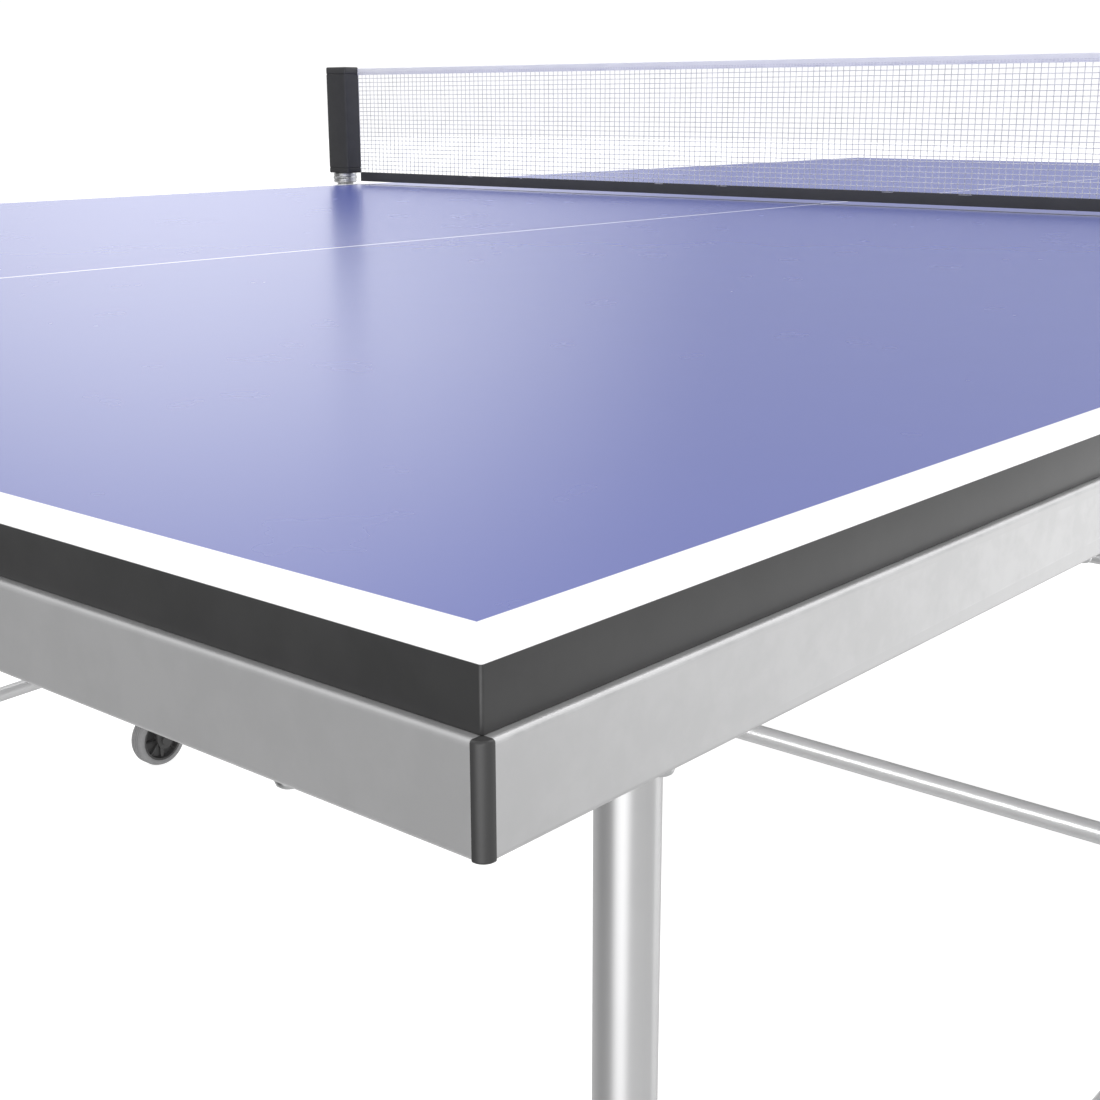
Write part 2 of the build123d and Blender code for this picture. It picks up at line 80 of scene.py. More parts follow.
# ---- node graphs --------------------------------------------------------------------
class Graph:
    """Short ways to add and join the nodes of one tree."""

    def __init__(self, tree: bpy.types.NodeTree) -> None:
        """Starts work on a tree.

        Args:
            tree: The node tree to add to.
        """
        self.tree = tree

    def add(self, kind: str, **settings: Any) -> bpy.types.Node:
        """Adds a node.

        Args:
            kind: Blender's identifier of the node.
            **settings: Properties to set on it.

        Returns:
            The new node.
        """
        node = self.tree.nodes.new(kind)
        for name, value in settings.items():
            setattr(node, name, value)
        return node

    def feed(self, socket: bpy.types.NodeSocket, value: Feed) -> None:
        """Links a socket, or sets its value.

        Args:
            socket: The input socket.
            value: Another socket, a number or a colour.
        """
        if isinstance(value, bpy.types.NodeSocket):
            self.tree.links.new(value, socket)
        elif isinstance(value, tuple) and len(value) == 3 and socket.type == "RGBA":
            socket.default_value = (*value, 1.0)
        else:
            socket.default_value = value

    def math(self, operation: str, first: Feed, second: Feed = 0.0) -> bpy.types.NodeSocket:
        """Adds a Math node.

        Args:
            operation: Its operation.
            first: First operand.
            second: Second operand.

        Returns:
            Its output socket.
        """
        node = self.add("ShaderNodeMath", operation=operation)
        self.feed(node.inputs[0], first)
        self.feed(node.inputs[1], second)
        return node.outputs[0]

    def fit(self, value: Feed, low: float, high: float, to_low: float = 0.0,
            to_high: float = 1.0) -> bpy.types.NodeSocket:
        """Maps a range on to another one, clamped.

        Args:
            value: What to map.
            low: Start of its range.
            high: End of its range.
            to_low: Start of the new range.
            to_high: End of the new range.

        Returns:
            The mapped value's socket.
        """
        node = self.add("ShaderNodeMapRange")
        for socket, given in zip(node.inputs, (value, low, high, to_low, to_high)):
            self.feed(socket, given)
        return node.outputs[0]

    def noise(self, vector: Feed, scale: Feed, detail: float = 2.0,
              roughness: float = 0.5) -> bpy.types.NodeSocket:
        """Adds a noise texture.

        Args:
            vector: Its coordinates.
            scale: Its scale.
            detail: Number of octaves.
            roughness: Share of each finer octave.

        Returns:
            The socket of its factor.
        """
        node = self.add("ShaderNodeTexNoise")
        self.feed(node.inputs["Vector"], vector)
        self.feed(node.inputs["Scale"], scale)
        self.feed(node.inputs["Detail"], detail)
        self.feed(node.inputs["Roughness"], roughness)
        return node.outputs["Fac"]

    def blend(self, factor: Feed, first: Feed, second: Feed) -> bpy.types.NodeSocket:
        """Mixes two colours.

        Args:
            factor: Share of the second colour.
            first: First colour.
            second: Second colour.

        Returns:
            The mixed colour's socket.
        """
        node = self.add("ShaderNodeMix", data_type="RGBA")
        self.feed(node.inputs["Factor"], factor)
        self.feed(node.inputs[6], first)
        self.feed(node.inputs[7], second)
        return node.outputs[2]

    def stretch(self, vector: Feed, scale: Point) -> bpy.types.NodeSocket:
        """Scales coordinates.

        Args:
            vector: The coordinates.
            scale: Scale along each axis.

        Returns:
            The scaled coordinates' socket.
        """
        node = self.add("ShaderNodeMapping")
        self.feed(node.inputs["Vector"], vector)
        node.inputs["Scale"].default_value = scale
        return node.outputs[0]

    def group(self, group: bpy.types.NodeTree, **inputs: Feed) -> bpy.types.Node:
        """Places a node group.

        Args:
            group: The group's tree.
            **inputs: Its inputs, with _ for a space in a name.

        Returns:
            The group node.
        """
        node = self.add("ShaderNodeGroup", node_tree=group)
        for name, value in inputs.items():
            self.feed(node.inputs[name.replace("_", " ")], value)
        return node


@dataclass(frozen=True)
class SharedEffect:
    """A shader node group that several finishes use."""

    name: str
    inputs: tuple[tuple[str, float], ...]
    outputs: tuple[str, ...]
    wire: Callable[[Graph, bpy.types.Node, bpy.types.Node], None]

    def tree(self) -> bpy.types.NodeTree:
        """Returns the group's tree, built on first use."""
        found = bpy.data.node_groups.get(self.name)
        if found:
            return found
        tree = bpy.data.node_groups.new(self.name, "ShaderNodeTree")
        face = tree.interface
        face.new_socket("Vector", in_out="INPUT", socket_type="NodeSocketVector")
        for title, value in self.inputs:
            socket = face.new_socket(title, in_out="INPUT", socket_type="NodeSocketFloat")
            socket.default_value = value
        for title in self.outputs:
            face.new_socket(title, in_out="OUTPUT", socket_type="NodeSocketFloat")
        graph = Graph(tree)
        self.wire(graph, graph.add("NodeGroupInput"), graph.add("NodeGroupOutput"))
        return tree


def wire_grain(graph: Graph, given: bpy.types.Node, made: bpy.types.Node) -> None:
    """Wires a fine sprayed or moulded grain.

    Args:
        graph: The group's graph.
        given: Its input node.
        made: Its output node.
    """
    fine = graph.noise(given.outputs["Vector"], given.outputs["Scale"], 3.0, 0.6)
    broad_scale = graph.math("MULTIPLY", given.outputs["Scale"], 0.012)
    broad = graph.noise(given.outputs["Vector"], broad_scale, 3.0, 0.55)
    cell = graph.add("ShaderNodeTexVoronoi")
    graph.feed(cell.inputs["Vector"], given.outputs["Vector"])
    graph.feed(cell.inputs["Scale"], graph.math("MULTIPLY", given.outputs["Scale"], 0.6))
    pits = graph.fit(cell.outputs["Distance"], 0.0, 0.6)
    mixed = graph.math("MULTIPLY", pits, given.outputs["Pits"])
    graph.feed(made.inputs["Height"], graph.math("ADD", fine, mixed))
    graph.feed(made.inputs["Tone"], graph.fit(broad, 0.3, 0.7))


def wire_marks(graph: Graph, given: bpy.types.Node, made: bpy.types.Node) -> None:
    """Wires light scuffs and settled dust.

    Args:
        graph: The group's graph.
        given: Its input node.
        made: Its output node.
    """
    long_way = graph.stretch(given.outputs["Vector"], (0.25, 1.0, 1.0))
    streaks = graph.noise(long_way, graph.math("MULTIPLY", given.outputs["Scale"], 14.0), 4.0, 0.7)
    patch = graph.noise(given.outputs["Vector"], given.outputs["Scale"], 2.0, 0.5)
    thin = graph.fit(streaks, 0.62, 0.72)
    where = graph.fit(patch, 0.5, 0.7)
    graph.feed(made.inputs["Scuff"], graph.math("MULTIPLY", thin, where))
    graph.feed(made.inputs["Dust"], graph.fit(patch, 0.35, 0.75))


def wire_edge_wear(graph: Graph, given: bpy.types.Node, made: bpy.types.Node) -> None:
    """Wires wear along raised edges.

    Args:
        graph: The group's graph.
        given: Its input node.
        made: Its output node.
    """
    shape = graph.add("ShaderNodeNewGeometry")
    raised = graph.fit(shape.outputs["Pointiness"], 0.52, 0.6)
    broken = graph.noise(given.outputs["Vector"], given.outputs["Scale"], 4.0, 0.65)
    ragged = graph.math("MULTIPLY", raised, graph.fit(broken, 0.4, 0.6))
    graph.feed(made.inputs["Mask"], graph.math("MULTIPLY", ragged, given.outputs["Amount"]))


def wire_weave(graph: Graph, given: bpy.types.Node, made: bpy.types.Node) -> None:
    """Wires an over-and-under weave on the piece's upright plane, with a mask of painted shade
    where the threads part.

    Args:
        graph: The group's graph.
        given: Its input node.
        made: Its output node.
    """
    split = graph.add("ShaderNodeSeparateXYZ")
    graph.feed(split.inputs[0], given.outputs["Vector"])
    turns = graph.math("DIVIDE", 2 * math.pi, given.outputs["Pitch"])
    along = graph.math("SINE", graph.math("MULTIPLY", split.outputs["Y"], turns))
    up = graph.math("SINE", graph.math("MULTIPLY", split.outputs["Z"], turns))
    crossing = graph.math("MULTIPLY", along, up)
    graph.feed(made.inputs["Height"], graph.fit(crossing, -1.0, 1.0))
    # Painted shade mask: 1 where the threads part, 0 on the threads.
    graph.feed(made.inputs["Gap"], graph.fit(graph.math("ABSOLUTE", crossing), 0.25, 0.0))


GRAIN = SharedEffect("Fine grain", (("Scale", 900.0), ("Pits", 0.3)),
                     ("Height", "Tone"), wire_grain)
MARKS = SharedEffect("Handling marks", (("Scale", 5.0),), ("Scuff", "Dust"), wire_marks)
EDGE_WEAR = SharedEffect("Edge wear", (("Scale", 60.0), ("Amount", 0.5)),
                         ("Mask",), wire_edge_wear)
WEAVE = SharedEffect("Weave", (("Pitch", 0.0012),), ("Height", "Gap"), wire_weave)


# ---- finishes -----------------------------------------------------------------------
@dataclass(frozen=True)
class Finish:
    """One finish: its colour, gloss, grain and signs of use."""

    name: str
    slot: str
    colour: Colour
    roughness: float
    metallic: float = 0.0
    specular: float = 0.5
    coat: float = 0.0
    variation: float = 0.06
    gloss_spread: float = 0.05
    grain_scale: float = 900.0
    grain_pits: float = 0.3
    grain_depth: float = 0.00004
    bump: float = 0.25
    dust: float = 0.05
    scuff: float = 0.08
    wear: float = 0.3
    worn_colour: Colour = (0.5, 0.5, 0.5)

    def base_colour(self, graph: Graph, place: bpy.types.NodeSocket,
                    tone: bpy.types.NodeSocket) -> bpy.types.NodeSocket:
        """Colour before wear and dust.

        Args:
            graph: The material's graph.
            place: Object coordinates.
            tone: Broad mottling, 0 to 1.

        Returns:
            The colour's socket.
        """
        dark = tuple(part * (1 - self.variation) for part in self.colour)
        light = tuple(min(1.0, part * (1 + self.variation)) for part in self.colour)
        return graph.blend(tone, dark, light)

    def relief(self, graph: Graph, place: bpy.types.NodeSocket,
               grain: bpy.types.NodeSocket) -> bpy.types.NodeSocket:
        """Height of the surface texture.

        Args:
            graph: The material's graph.
            place: Object coordinates.
            grain: Height of the fine grain.

        Returns:
            The height's socket.
        """
        return grain

    def material(self) -> bpy.types.Material:
        """Returns the finish's material, built on first use."""
        found = bpy.data.materials.get(self.name)
        if found:
            return found
        material = bpy.data.materials.new(self.name)
        material.use_nodes = True
        material.node_tree.nodes.clear()
        graph = Graph(material.node_tree)
        place = graph.add("ShaderNodeTexCoord").outputs["Object"]
        grain = graph.group(GRAIN.tree(), Vector=place, Scale=self.grain_scale,
                            Pits=self.grain_pits)
        marks = graph.group(MARKS.tree(), Vector=place, Scale=5.0)
        edge = graph.group(EDGE_WEAR.tree(), Vector=place, Amount=self.wear)
        colour = self.base_colour(graph, place, grain.outputs["Tone"])
        colour = graph.blend(edge.outputs["Mask"], colour, self.worn_colour)
        dusty = graph.math("MULTIPLY", marks.outputs["Dust"], self.dust)
        colour = graph.blend(dusty, colour, (0.62, 0.61, 0.59))
        spread = graph.math("MULTIPLY", grain.outputs["Tone"], self.gloss_spread)
        rubbed = graph.math("MULTIPLY", marks.outputs["Scuff"], self.scuff)
        rough = graph.math("ADD", graph.math("ADD", spread, self.roughness), rubbed)
        bump = graph.add("ShaderNodeBump")
        graph.feed(bump.inputs["Strength"], self.bump)
        graph.feed(bump.inputs["Distance"], self.grain_depth)
        graph.feed(bump.inputs["Height"], self.relief(graph, place, grain.outputs["Height"]))
        shader = graph.add("ShaderNodeBsdfPrincipled")
        graph.feed(shader.inputs["Base Color"], colour)
        graph.feed(shader.inputs["Roughness"], rough)
        graph.feed(shader.inputs["Metallic"], self.metallic)
        graph.feed(shader.inputs["Specular IOR Level"], self.specular)
        graph.feed(shader.inputs["Coat Weight"], self.coat)
        graph.feed(shader.inputs["Coat Roughness"], 0.12)
        graph.feed(shader.inputs["Normal"], bump.outputs["Normal"])
        output = graph.add("ShaderNodeOutputMaterial")
        graph.feed(output.inputs["Surface"], shader.outputs[0])
        return material


@dataclass(frozen=True)
class PlayingTop(Finish):
    """Blue sprayed playing surface with white lines, and a pale grey underside."""

    table_top: float = 0.760
    half_length: float = 1.370
    half_width: float = 0.7625
    line: float = 0.020
    centre_line: float = 0.003
    line_colour: Colour = (0.98, 0.98, 0.99)
    under_colour: Colour = (0.50, 0.50, 0.51)

    def lines(self, graph: Graph, place: bpy.types.NodeSocket) -> bpy.types.NodeSocket:
        """Mask of the white lines.

        Args:
            graph: The material's graph.
            place: Object coordinates.

        Returns:
            The mask's socket.
        """
        soft = 0.0002
        split = graph.add("ShaderNodeSeparateXYZ")
        graph.feed(split.inputs[0], place)
        along = graph.math("ABSOLUTE", split.outputs["X"])
        across = graph.math("ABSOLUTE", split.outputs["Y"])
        end = self.half_length - self.line
        side = self.half_width - self.line
        end_line = graph.fit(along, end - soft, end + soft)
        side_line = graph.fit(across, side - soft, side + soft)
        middle = graph.fit(across, self.centre_line / 2 + soft, self.centre_line / 2 - soft,
                           0.0, 0.9)
        return graph.math("MAXIMUM", graph.math("MAXIMUM", end_line, side_line), middle)

    def base_colour(self, graph: Graph, place: bpy.types.NodeSocket,
                    tone: bpy.types.NodeSocket) -> bpy.types.NodeSocket:
        """Blue with white lines above, pale grey backing with chips below.

        Args:
            graph: The material's graph.
            place: Object coordinates.
            tone: Broad mottling, 0 to 1.

        Returns:
            The colour's socket.
        """
        blue = super().base_colour(graph, place, tone)
        marked = graph.blend(self.lines(graph, place), blue, self.line_colour)
        chips = graph.noise(graph.stretch(place, (1.0, 0.4, 1.0)), 160.0, 4.0, 0.7)
        flecked = graph.blend(graph.fit(chips, 0.45, 0.7, 0.0, 0.35), self.under_colour,
                              (0.40, 0.39, 0.37))
        split = graph.add("ShaderNodeSeparateXYZ")
        graph.feed(split.inputs[0], place)
        upper = graph.fit(split.outputs["Z"], self.table_top - 0.0006, self.table_top - 0.0004)
        return graph.blend(upper, flecked, marked)


@dataclass(frozen=True)
class EdgeBand(PlayingTop):
    """Black edge band whose top carries on the white line."""

    def base_colour(self, graph: Graph, place: bpy.types.NodeSocket,
                    tone: bpy.types.NodeSocket) -> bpy.types.NodeSocket:
        """Black on the sides, white on top away from the net.

        Args:
            graph: The material's graph.
            place: Object coordinates.
            tone: Broad mottling, 0 to 1.

        Returns:
            The colour's socket.
        """
        black = Finish.base_colour(self, graph, place, tone)
        split = graph.add("ShaderNodeSeparateXYZ")
        graph.feed(split.inputs[0], place)
        upper = graph.fit(split.outputs["Z"], self.table_top - 0.00032, self.table_top - 0.00022)
        lined = graph.math("MULTIPLY", upper, self.lines(graph, place))
        return graph.blend(lined, black, self.line_colour)


@dataclass(frozen=True)
class Woven(Finish):
    """Woven tape or webbing."""

    pitch: float = 0.0012
    # Colour of the painted shade between the threads.
    gap_colour: Colour = (0.4, 0.4, 0.42)

    def weave(self, graph: Graph, place: bpy.types.NodeSocket) -> bpy.types.Node:
        """Places the weave group.

        Args:
            graph: The material's graph.
            place: Object coordinates.

        Returns:
            The group node.
        """
        return graph.group(WEAVE.tree(), Vector=place, Pitch=self.pitch)

    def base_colour(self, graph: Graph, place: bpy.types.NodeSocket,
                    tone: bpy.types.NodeSocket) -> bpy.types.NodeSocket:
        """Thread colour with painted shade, a darker colour, in the gaps between threads.

        Args:
            graph: The material's graph.
            place: Object coordinates.
            tone: Broad mottling, 0 to 1.

        Returns:
            The colour's socket.
        """
        thread = super().base_colour(graph, place, tone)
        # Painted shade: half the mask pulls the thread colour towards the darker colour between
        # threads.
        gap_shade = graph.math("MULTIPLY", self.weave(graph, place).outputs["Gap"], 0.5)
        return graph.blend(gap_shade, thread, self.gap_colour)

    def relief(self, graph: Graph, place: bpy.types.NodeSocket,
               grain: bpy.types.NodeSocket) -> bpy.types.NodeSocket:
        """Weave over a little fuzz.

        Args:
            graph: The material's graph.
            place: Object coordinates.
            grain: Height of the fine grain.

        Returns:
            The height's socket.
        """
        fuzz = graph.math("MULTIPLY", grain, 0.3)
        return graph.math("ADD", self.weave(graph, place).outputs["Height"], fuzz)


TOP = PlayingTop("Playing top blue", "playing_top", (0.100, 0.126, 0.400), 0.27,
                 specular=0.5, variation=0.006, gloss_spread=0.004,
                 grain_scale=1800.0, grain_pits=0.0, grain_depth=0.00001, bump=0.012,
                 dust=0.0, scuff=0.0, wear=0.0)
BAND = EdgeBand("Edge band black", "edge_band", (0.030, 0.030, 0.031), 0.36,
                variation=0.08, grain_scale=1600.0, bump=0.12, dust=0.03, scuff=0.06,
                wear=0.1, worn_colour=(0.12, 0.12, 0.12))
RAIL = Finish("Rail silver paint", "rail_paint", (0.44, 0.44, 0.445), 0.36,
              metallic=0.25, coat=0.6, variation=0.008, gloss_spread=0.01,
              grain_scale=2200.0, grain_pits=0.2, grain_depth=0.00002, bump=0.15,
              dust=0.0, scuff=0.04, wear=0.25,
              worn_colour=(0.75, 0.75, 0.76))
TUBE = Finish("Tube silver paint", "tube_paint", (0.57, 0.57, 0.575), 0.30,
              metallic=0.50, variation=0.015, gloss_spread=0.02,
              grain_scale=2000.0, grain_pits=0.2, grain_depth=0.00002, bump=0.15,
              dust=0.03, scuff=0.05, wear=0.2,
              worn_colour=(0.6, 0.6, 0.6))
MOULDED = Finish("Moulded black", "moulded_black", (0.036, 0.036, 0.037), 0.42,
                 variation=0.08, grain_scale=1300.0, grain_pits=0.8, grain_depth=0.00005,
                 bump=0.3, dust=0.04, wear=0.1, worn_colour=(0.14, 0.14, 0.14))
POST = Finish("Net post black", "post_black", (0.034, 0.034, 0.036), 0.5,
              variation=0.06, grain_scale=1100.0, grain_pits=0.8, grain_depth=0.00006,
              bump=0.35, dust=0.03, wear=0.1, worn_colour=(0.12, 0.12, 0.12))
ZINC = Finish("Zinc plated steel", "zinc_steel", (0.56, 0.565, 0.57), 0.28,
              metallic=0.95, variation=0.08, grain_scale=700.0, grain_pits=0.5,
              grain_depth=0.00003, bump=0.2, dust=0.05, wear=0.2,
              worn_colour=(0.7, 0.7, 0.7))
FOOT = Finish("Foot rubber", "foot_rubber", (0.028, 0.028, 0.029), 0.62,
              variation=0.12, grain_scale=800.0, grain_pits=0.8, bump=0.4, dust=0.15)
TYRE = Finish("Wheel rubber grey", "wheel_rubber", (0.20, 0.20, 0.205), 0.6,
              variation=0.1, grain_scale=700.0, grain_pits=0.8, bump=0.4, dust=0.12)
CASTOR = Finish("Castor black", "castor_black", (0.025, 0.025, 0.026), 0.45,
                variation=0.1, grain_scale=1200.0, grain_pits=0.8, bump=0.3, dust=0.08,
                wear=0.1, worn_colour=(0.12, 0.12, 0.12))
CORD = Finish("Net thread", "net_cord", (0.70, 0.70, 0.72), 0.75, variation=0.12,
              grain_scale=3000.0, bump=0.5, dust=0.0, wear=0.0)
# The tape and the band both darken their weave gaps with painted shade.
TAPE = Woven("Net tape weave", "net_tape", (0.93, 0.93, 0.98), 0.8, variation=0.03,
             grain_scale=2500.0, grain_depth=0.0002, bump=0.5, dust=0.0, wear=0.0,
             gap_colour=(0.74, 0.74, 0.82))
HEM = Woven("Net band weave", "net_band", (0.060, 0.060, 0.065), 0.75, variation=0.1,
            grain_scale=2500.0, grain_depth=0.0002, bump=0.5, dust=0.0, wear=0.0,
            pitch=0.0010, gap_colour=(0.02, 0.02, 0.02))
THREAD = Finish("Stitching thread", "net_tape", (0.75, 0.75, 0.80), 0.7, variation=0.08,
                grain_scale=4000.0, bump=0.4, dust=0.0, wear=0.0)
KNOB = Finish("Knob black", "knob_black", (0.024, 0.024, 0.025), 0.38, variation=0.08,
              grain_scale=1300.0, grain_pits=0.8, bump=0.25, wear=0.15,
              worn_colour=(0.15, 0.15, 0.15))


# ---- meshes -------------------------------------------------------------------------
class Maker:
    """Gathers the faces of one piece."""

    def __init__(self) -> None:
        """Starts an empty piece."""
        self.mesh = bmesh.new()

    def bridge(self, loops: Sequence[Sequence[Vector]], closed: bool = False) -> None:
        """Joins rows of points with faces, and caps the ends if the rows don't close.

        Args:
            loops: Rows of points, each a closed ring of the same count, or one point.
            closed: True if the last row joins the first.
        """
        rings = [[self.mesh.verts.new(point) for point in loop] for loop in loops]
        pairs = list(zip(rings, rings[1:]))
        if closed:
            pairs.append((rings[-1], rings[0]))
        for lower, upper in pairs:
            count = max(len(lower), len(upper))
            for step in range(count):
                after = (step + 1) % count
                corners = []
                for vert in (lower[step % len(lower)], lower[after % len(lower)],
                             upper[after % len(upper)], upper[step % len(upper)]):
                    if vert not in corners:
                        corners.append(vert)
                self.mesh.faces.new(corners)
        if not closed:
            for ring in (rings[0], rings[-1]):
                if len(ring) > 2:
                    self.mesh.faces.new(ring)

    def turned(self, profile: Sequence[tuple[float, float]], origin: Point, axis: Point,
               steps: int = 48, closed: bool = False,
               shape: Optional[Callable[[int, float], float]] = None) -> None:
        """Turns a profile round an axis.

        Args:
            profile: (radius, height) pairs along the axis.
            origin: Where the axis starts.
            axis: Its direction.
            steps: Points round the axis.
            closed: True if the profile is a closed loop, as on a ring.
            shape: Radius of a point, from its profile row and its angle.
        """
        turn = Vector((0, 0, 1)).rotation_difference(Vector(axis)).to_matrix()
        loops = []
        for row, (radius, height) in enumerate(profile):
            if radius == 0:
                loops.append([Vector(origin) + turn @ Vector((0, 0, height))])
                continue
            loop = []
            for step in range(steps):
                angle = 2 * math.pi * step / steps
                reach = shape(row, angle) if shape else radius
                local = Vector((reach * math.cos(angle), reach * math.sin(angle), height))
                loop.append(Vector(origin) + turn @ local)
            loops.append(loop)
        self.bridge(loops, closed)

    def piece(self, name: str, finish: Finish, smooth: float = 35.0) -> bpy.types.Object:
        """Closes the piece and makes its object.

        Args:
            name: The piece's name.
            finish: Its finish.
            smooth: Edges sharper than this stay sharp, in degrees.

        Returns:
            The new object.
        """
        bmesh.ops.remove_doubles(self.mesh, verts=self.mesh.verts, dist=1e-7)
        bmesh.ops.recalc_face_normals(self.mesh, faces=self.mesh.faces)
        data = bpy.data.meshes.new(name)
        self.mesh.to_mesh(data)
        self.mesh.free()
        return placed(name, data, finish, smooth)


def placed(name: str, data: bpy.types.Mesh, finish: Finish, smooth: float) -> bpy.types.Object:
    """Puts a mesh in the scene with its finish and shading.

    Args:
        name: The piece's name.
        data: Its mesh.
        finish: Its finish.
        smooth: Edges sharper than this stay sharp, in degrees.

    Returns:
        The new object.
    """
    data.materials.clear()
    data.materials.append(finish.material())
    data.shade_smooth()
    data.set_sharp_from_angle(angle=math.radians(smooth))
    piece = bpy.data.objects.new(name, data)
    bpy.context.scene.collection.objects.link(piece)
    return piece


def attach(piece: bpy.types.Object, body: str, finish: Finish, *nodes: str) -> bpy.types.Object:
    """Fixes a piece to its body and reports it.

    Args:
        piece: The finished piece.
        body: The body it moves with.
        finish: Its finish; not used.
        *nodes: CAD nodes that it stands for.

    Returns:
        The same piece.
    """
    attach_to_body(piece, body)
    if nodes:
        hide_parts(*nodes)
    LOG.info("%s on %s: %d faces", piece.name, body, len(piece.data.polygons))
    return piece


def refined(node: str, finish: Finish, body: str, rounding: float = 0.0) -> bpy.types.Object:
    """Smooth copy of a CAD node with its sharp edges broken.

    Args:
        node: The CAD node.
        finish: Its finish.
        body: The body it moves with.
        rounding: Width of the rounded edges, 0 for none.

    Returns:
        The new piece.
    """
    work = bmesh.new()
    work.from_mesh(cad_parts[node].data)
    bmesh.ops.remove_doubles(work, verts=work.verts, dist=2e-6)
    bmesh.ops.dissolve_limit(work, angle_limit=math.radians(0.5), verts=work.verts,
                             edges=work.edges)
    data = bpy.data.meshes.new(node + "_finished")
    work.to_mesh(data)
    work.free()
    piece = placed(node + "_finished", data, finish, 32.0)
    if rounding:
        edge = piece.modifiers.new("Broken edges", "BEVEL")
        edge.width = rounding
        edge.segments = 2
        edge.limit_method = "ANGLE"
        edge.angle_limit = math.radians(50)
        edge.harden_normals = True
    return attach(piece, body, finish, node)


def rounded_ring(low: tuple[float, float], high: tuple[float, float], inset: float,
                 radius: float, height: float, steps: int = 6) -> list[Vector]:
    """Level rectangle of points with round corners.

    Args:
        low: Lower corner, x and y.
        high: Upper corner, x and y.
        inset: How far the ring stands inside that rectangle.
        radius: Corner radius at no inset.
        height: Its z.
        steps: Points in each corner.

    Returns:
        The ring's points, anticlockwise from above.
    """
    bend = max(radius - inset, 0.00002)
    centres = ((high[0] - inset - bend, high[1] - inset - bend, 0),
               (low[0] + inset + bend, high[1] - inset - bend, 90),
               (low[0] + inset + bend, low[1] + inset + bend, 180),
               (high[0] - inset - bend, low[1] + inset + bend, 270))
    ring = []
    for x, y, start in centres:
        for step in range(steps):
            angle = math.radians(start + 90 * step / (steps - 1))
            ring.append(Vector((x + bend * math.cos(angle), y + bend * math.sin(angle), height)))
    return ring


# ---- repeated details ---------------------------------------------------------------
class PatternTree:
    """A Geometry Nodes tree with named inputs, and its use on a mesh."""

    def __init__(self, name: str, inputs: Iterable[tuple[str, str, Any]]) -> None:
        """Starts the tree.

        Args:
            name: The tree's name.
            inputs: Title, socket type and value of each input.
        """
        self.tree = bpy.data.node_groups.new(name, "GeometryNodeTree")
        face = self.tree.interface
        face.new_socket("Geometry", in_out="INPUT", socket_type="NodeSocketGeometry")
        self.keys: dict[str, str] = {}
        for title, kind, value in inputs:
            socket = face.new_socket(title, in_out="INPUT", socket_type=kind)
            if value is not None:
                socket.default_value = value
            self.keys[title] = socket.identifier
        face.new_socket("Geometry", in_out="OUTPUT", socket_type="NodeSocketGeometry")
        self.graph = Graph(self.tree)
        self.given = self.graph.add("NodeGroupInput").outputs
        self.made = self.graph.add("NodeGroupOutput").inputs

    def close(self, geometry: bpy.types.NodeSocket) -> None:
        """Ends the tree with Realize Instances and Set Material.

        Args:
            geometry: The geometry to put out.
        """
        real = self.graph.add("GeometryNodeRealizeInstances")
        self.graph.feed(real.inputs[0], geometry)
        coat = self.graph.add("GeometryNodeSetMaterial")
        self.graph.feed(coat.inputs["Geometry"], real.outputs[0])
        self.graph.feed(coat.inputs["Material"], self.given["Material"])
        self.graph.feed(self.made[0], coat.outputs[0])

    def run(self, name: str, base: bpy.types.Mesh, finish: Finish,
            **values: Any) -> bpy.types.Object:
        """Runs the tree on a mesh and keeps the result as a plain mesh.

        Args:
            name: Name of the new piece.
            base: Mesh the tree works on.
            finish: Its finish.
            **values: The tree's inputs, with _ for a space in a title.

        Returns:
            The new piece.
        """
        source = bpy.data.objects.new(name + "_places", base)
        bpy.context.scene.collection.objects.link(source)
        pattern = source.modifiers.new("Pattern", "NODES")
        pattern.node_group = self.tree
        pattern[self.keys["Material"]] = finish.material()
        for title, value in values.items():
            pattern[self.keys[title.replace("_", " ")]] = value
        graph = bpy.context.evaluated_depsgraph_get()
        data = bpy.data.meshes.new_from_object(source.evaluated_get(graph))
        source.modifiers.remove(pattern)
        bpy.data.objects.remove(source)
        return placed(name, data, finish, 40.0)


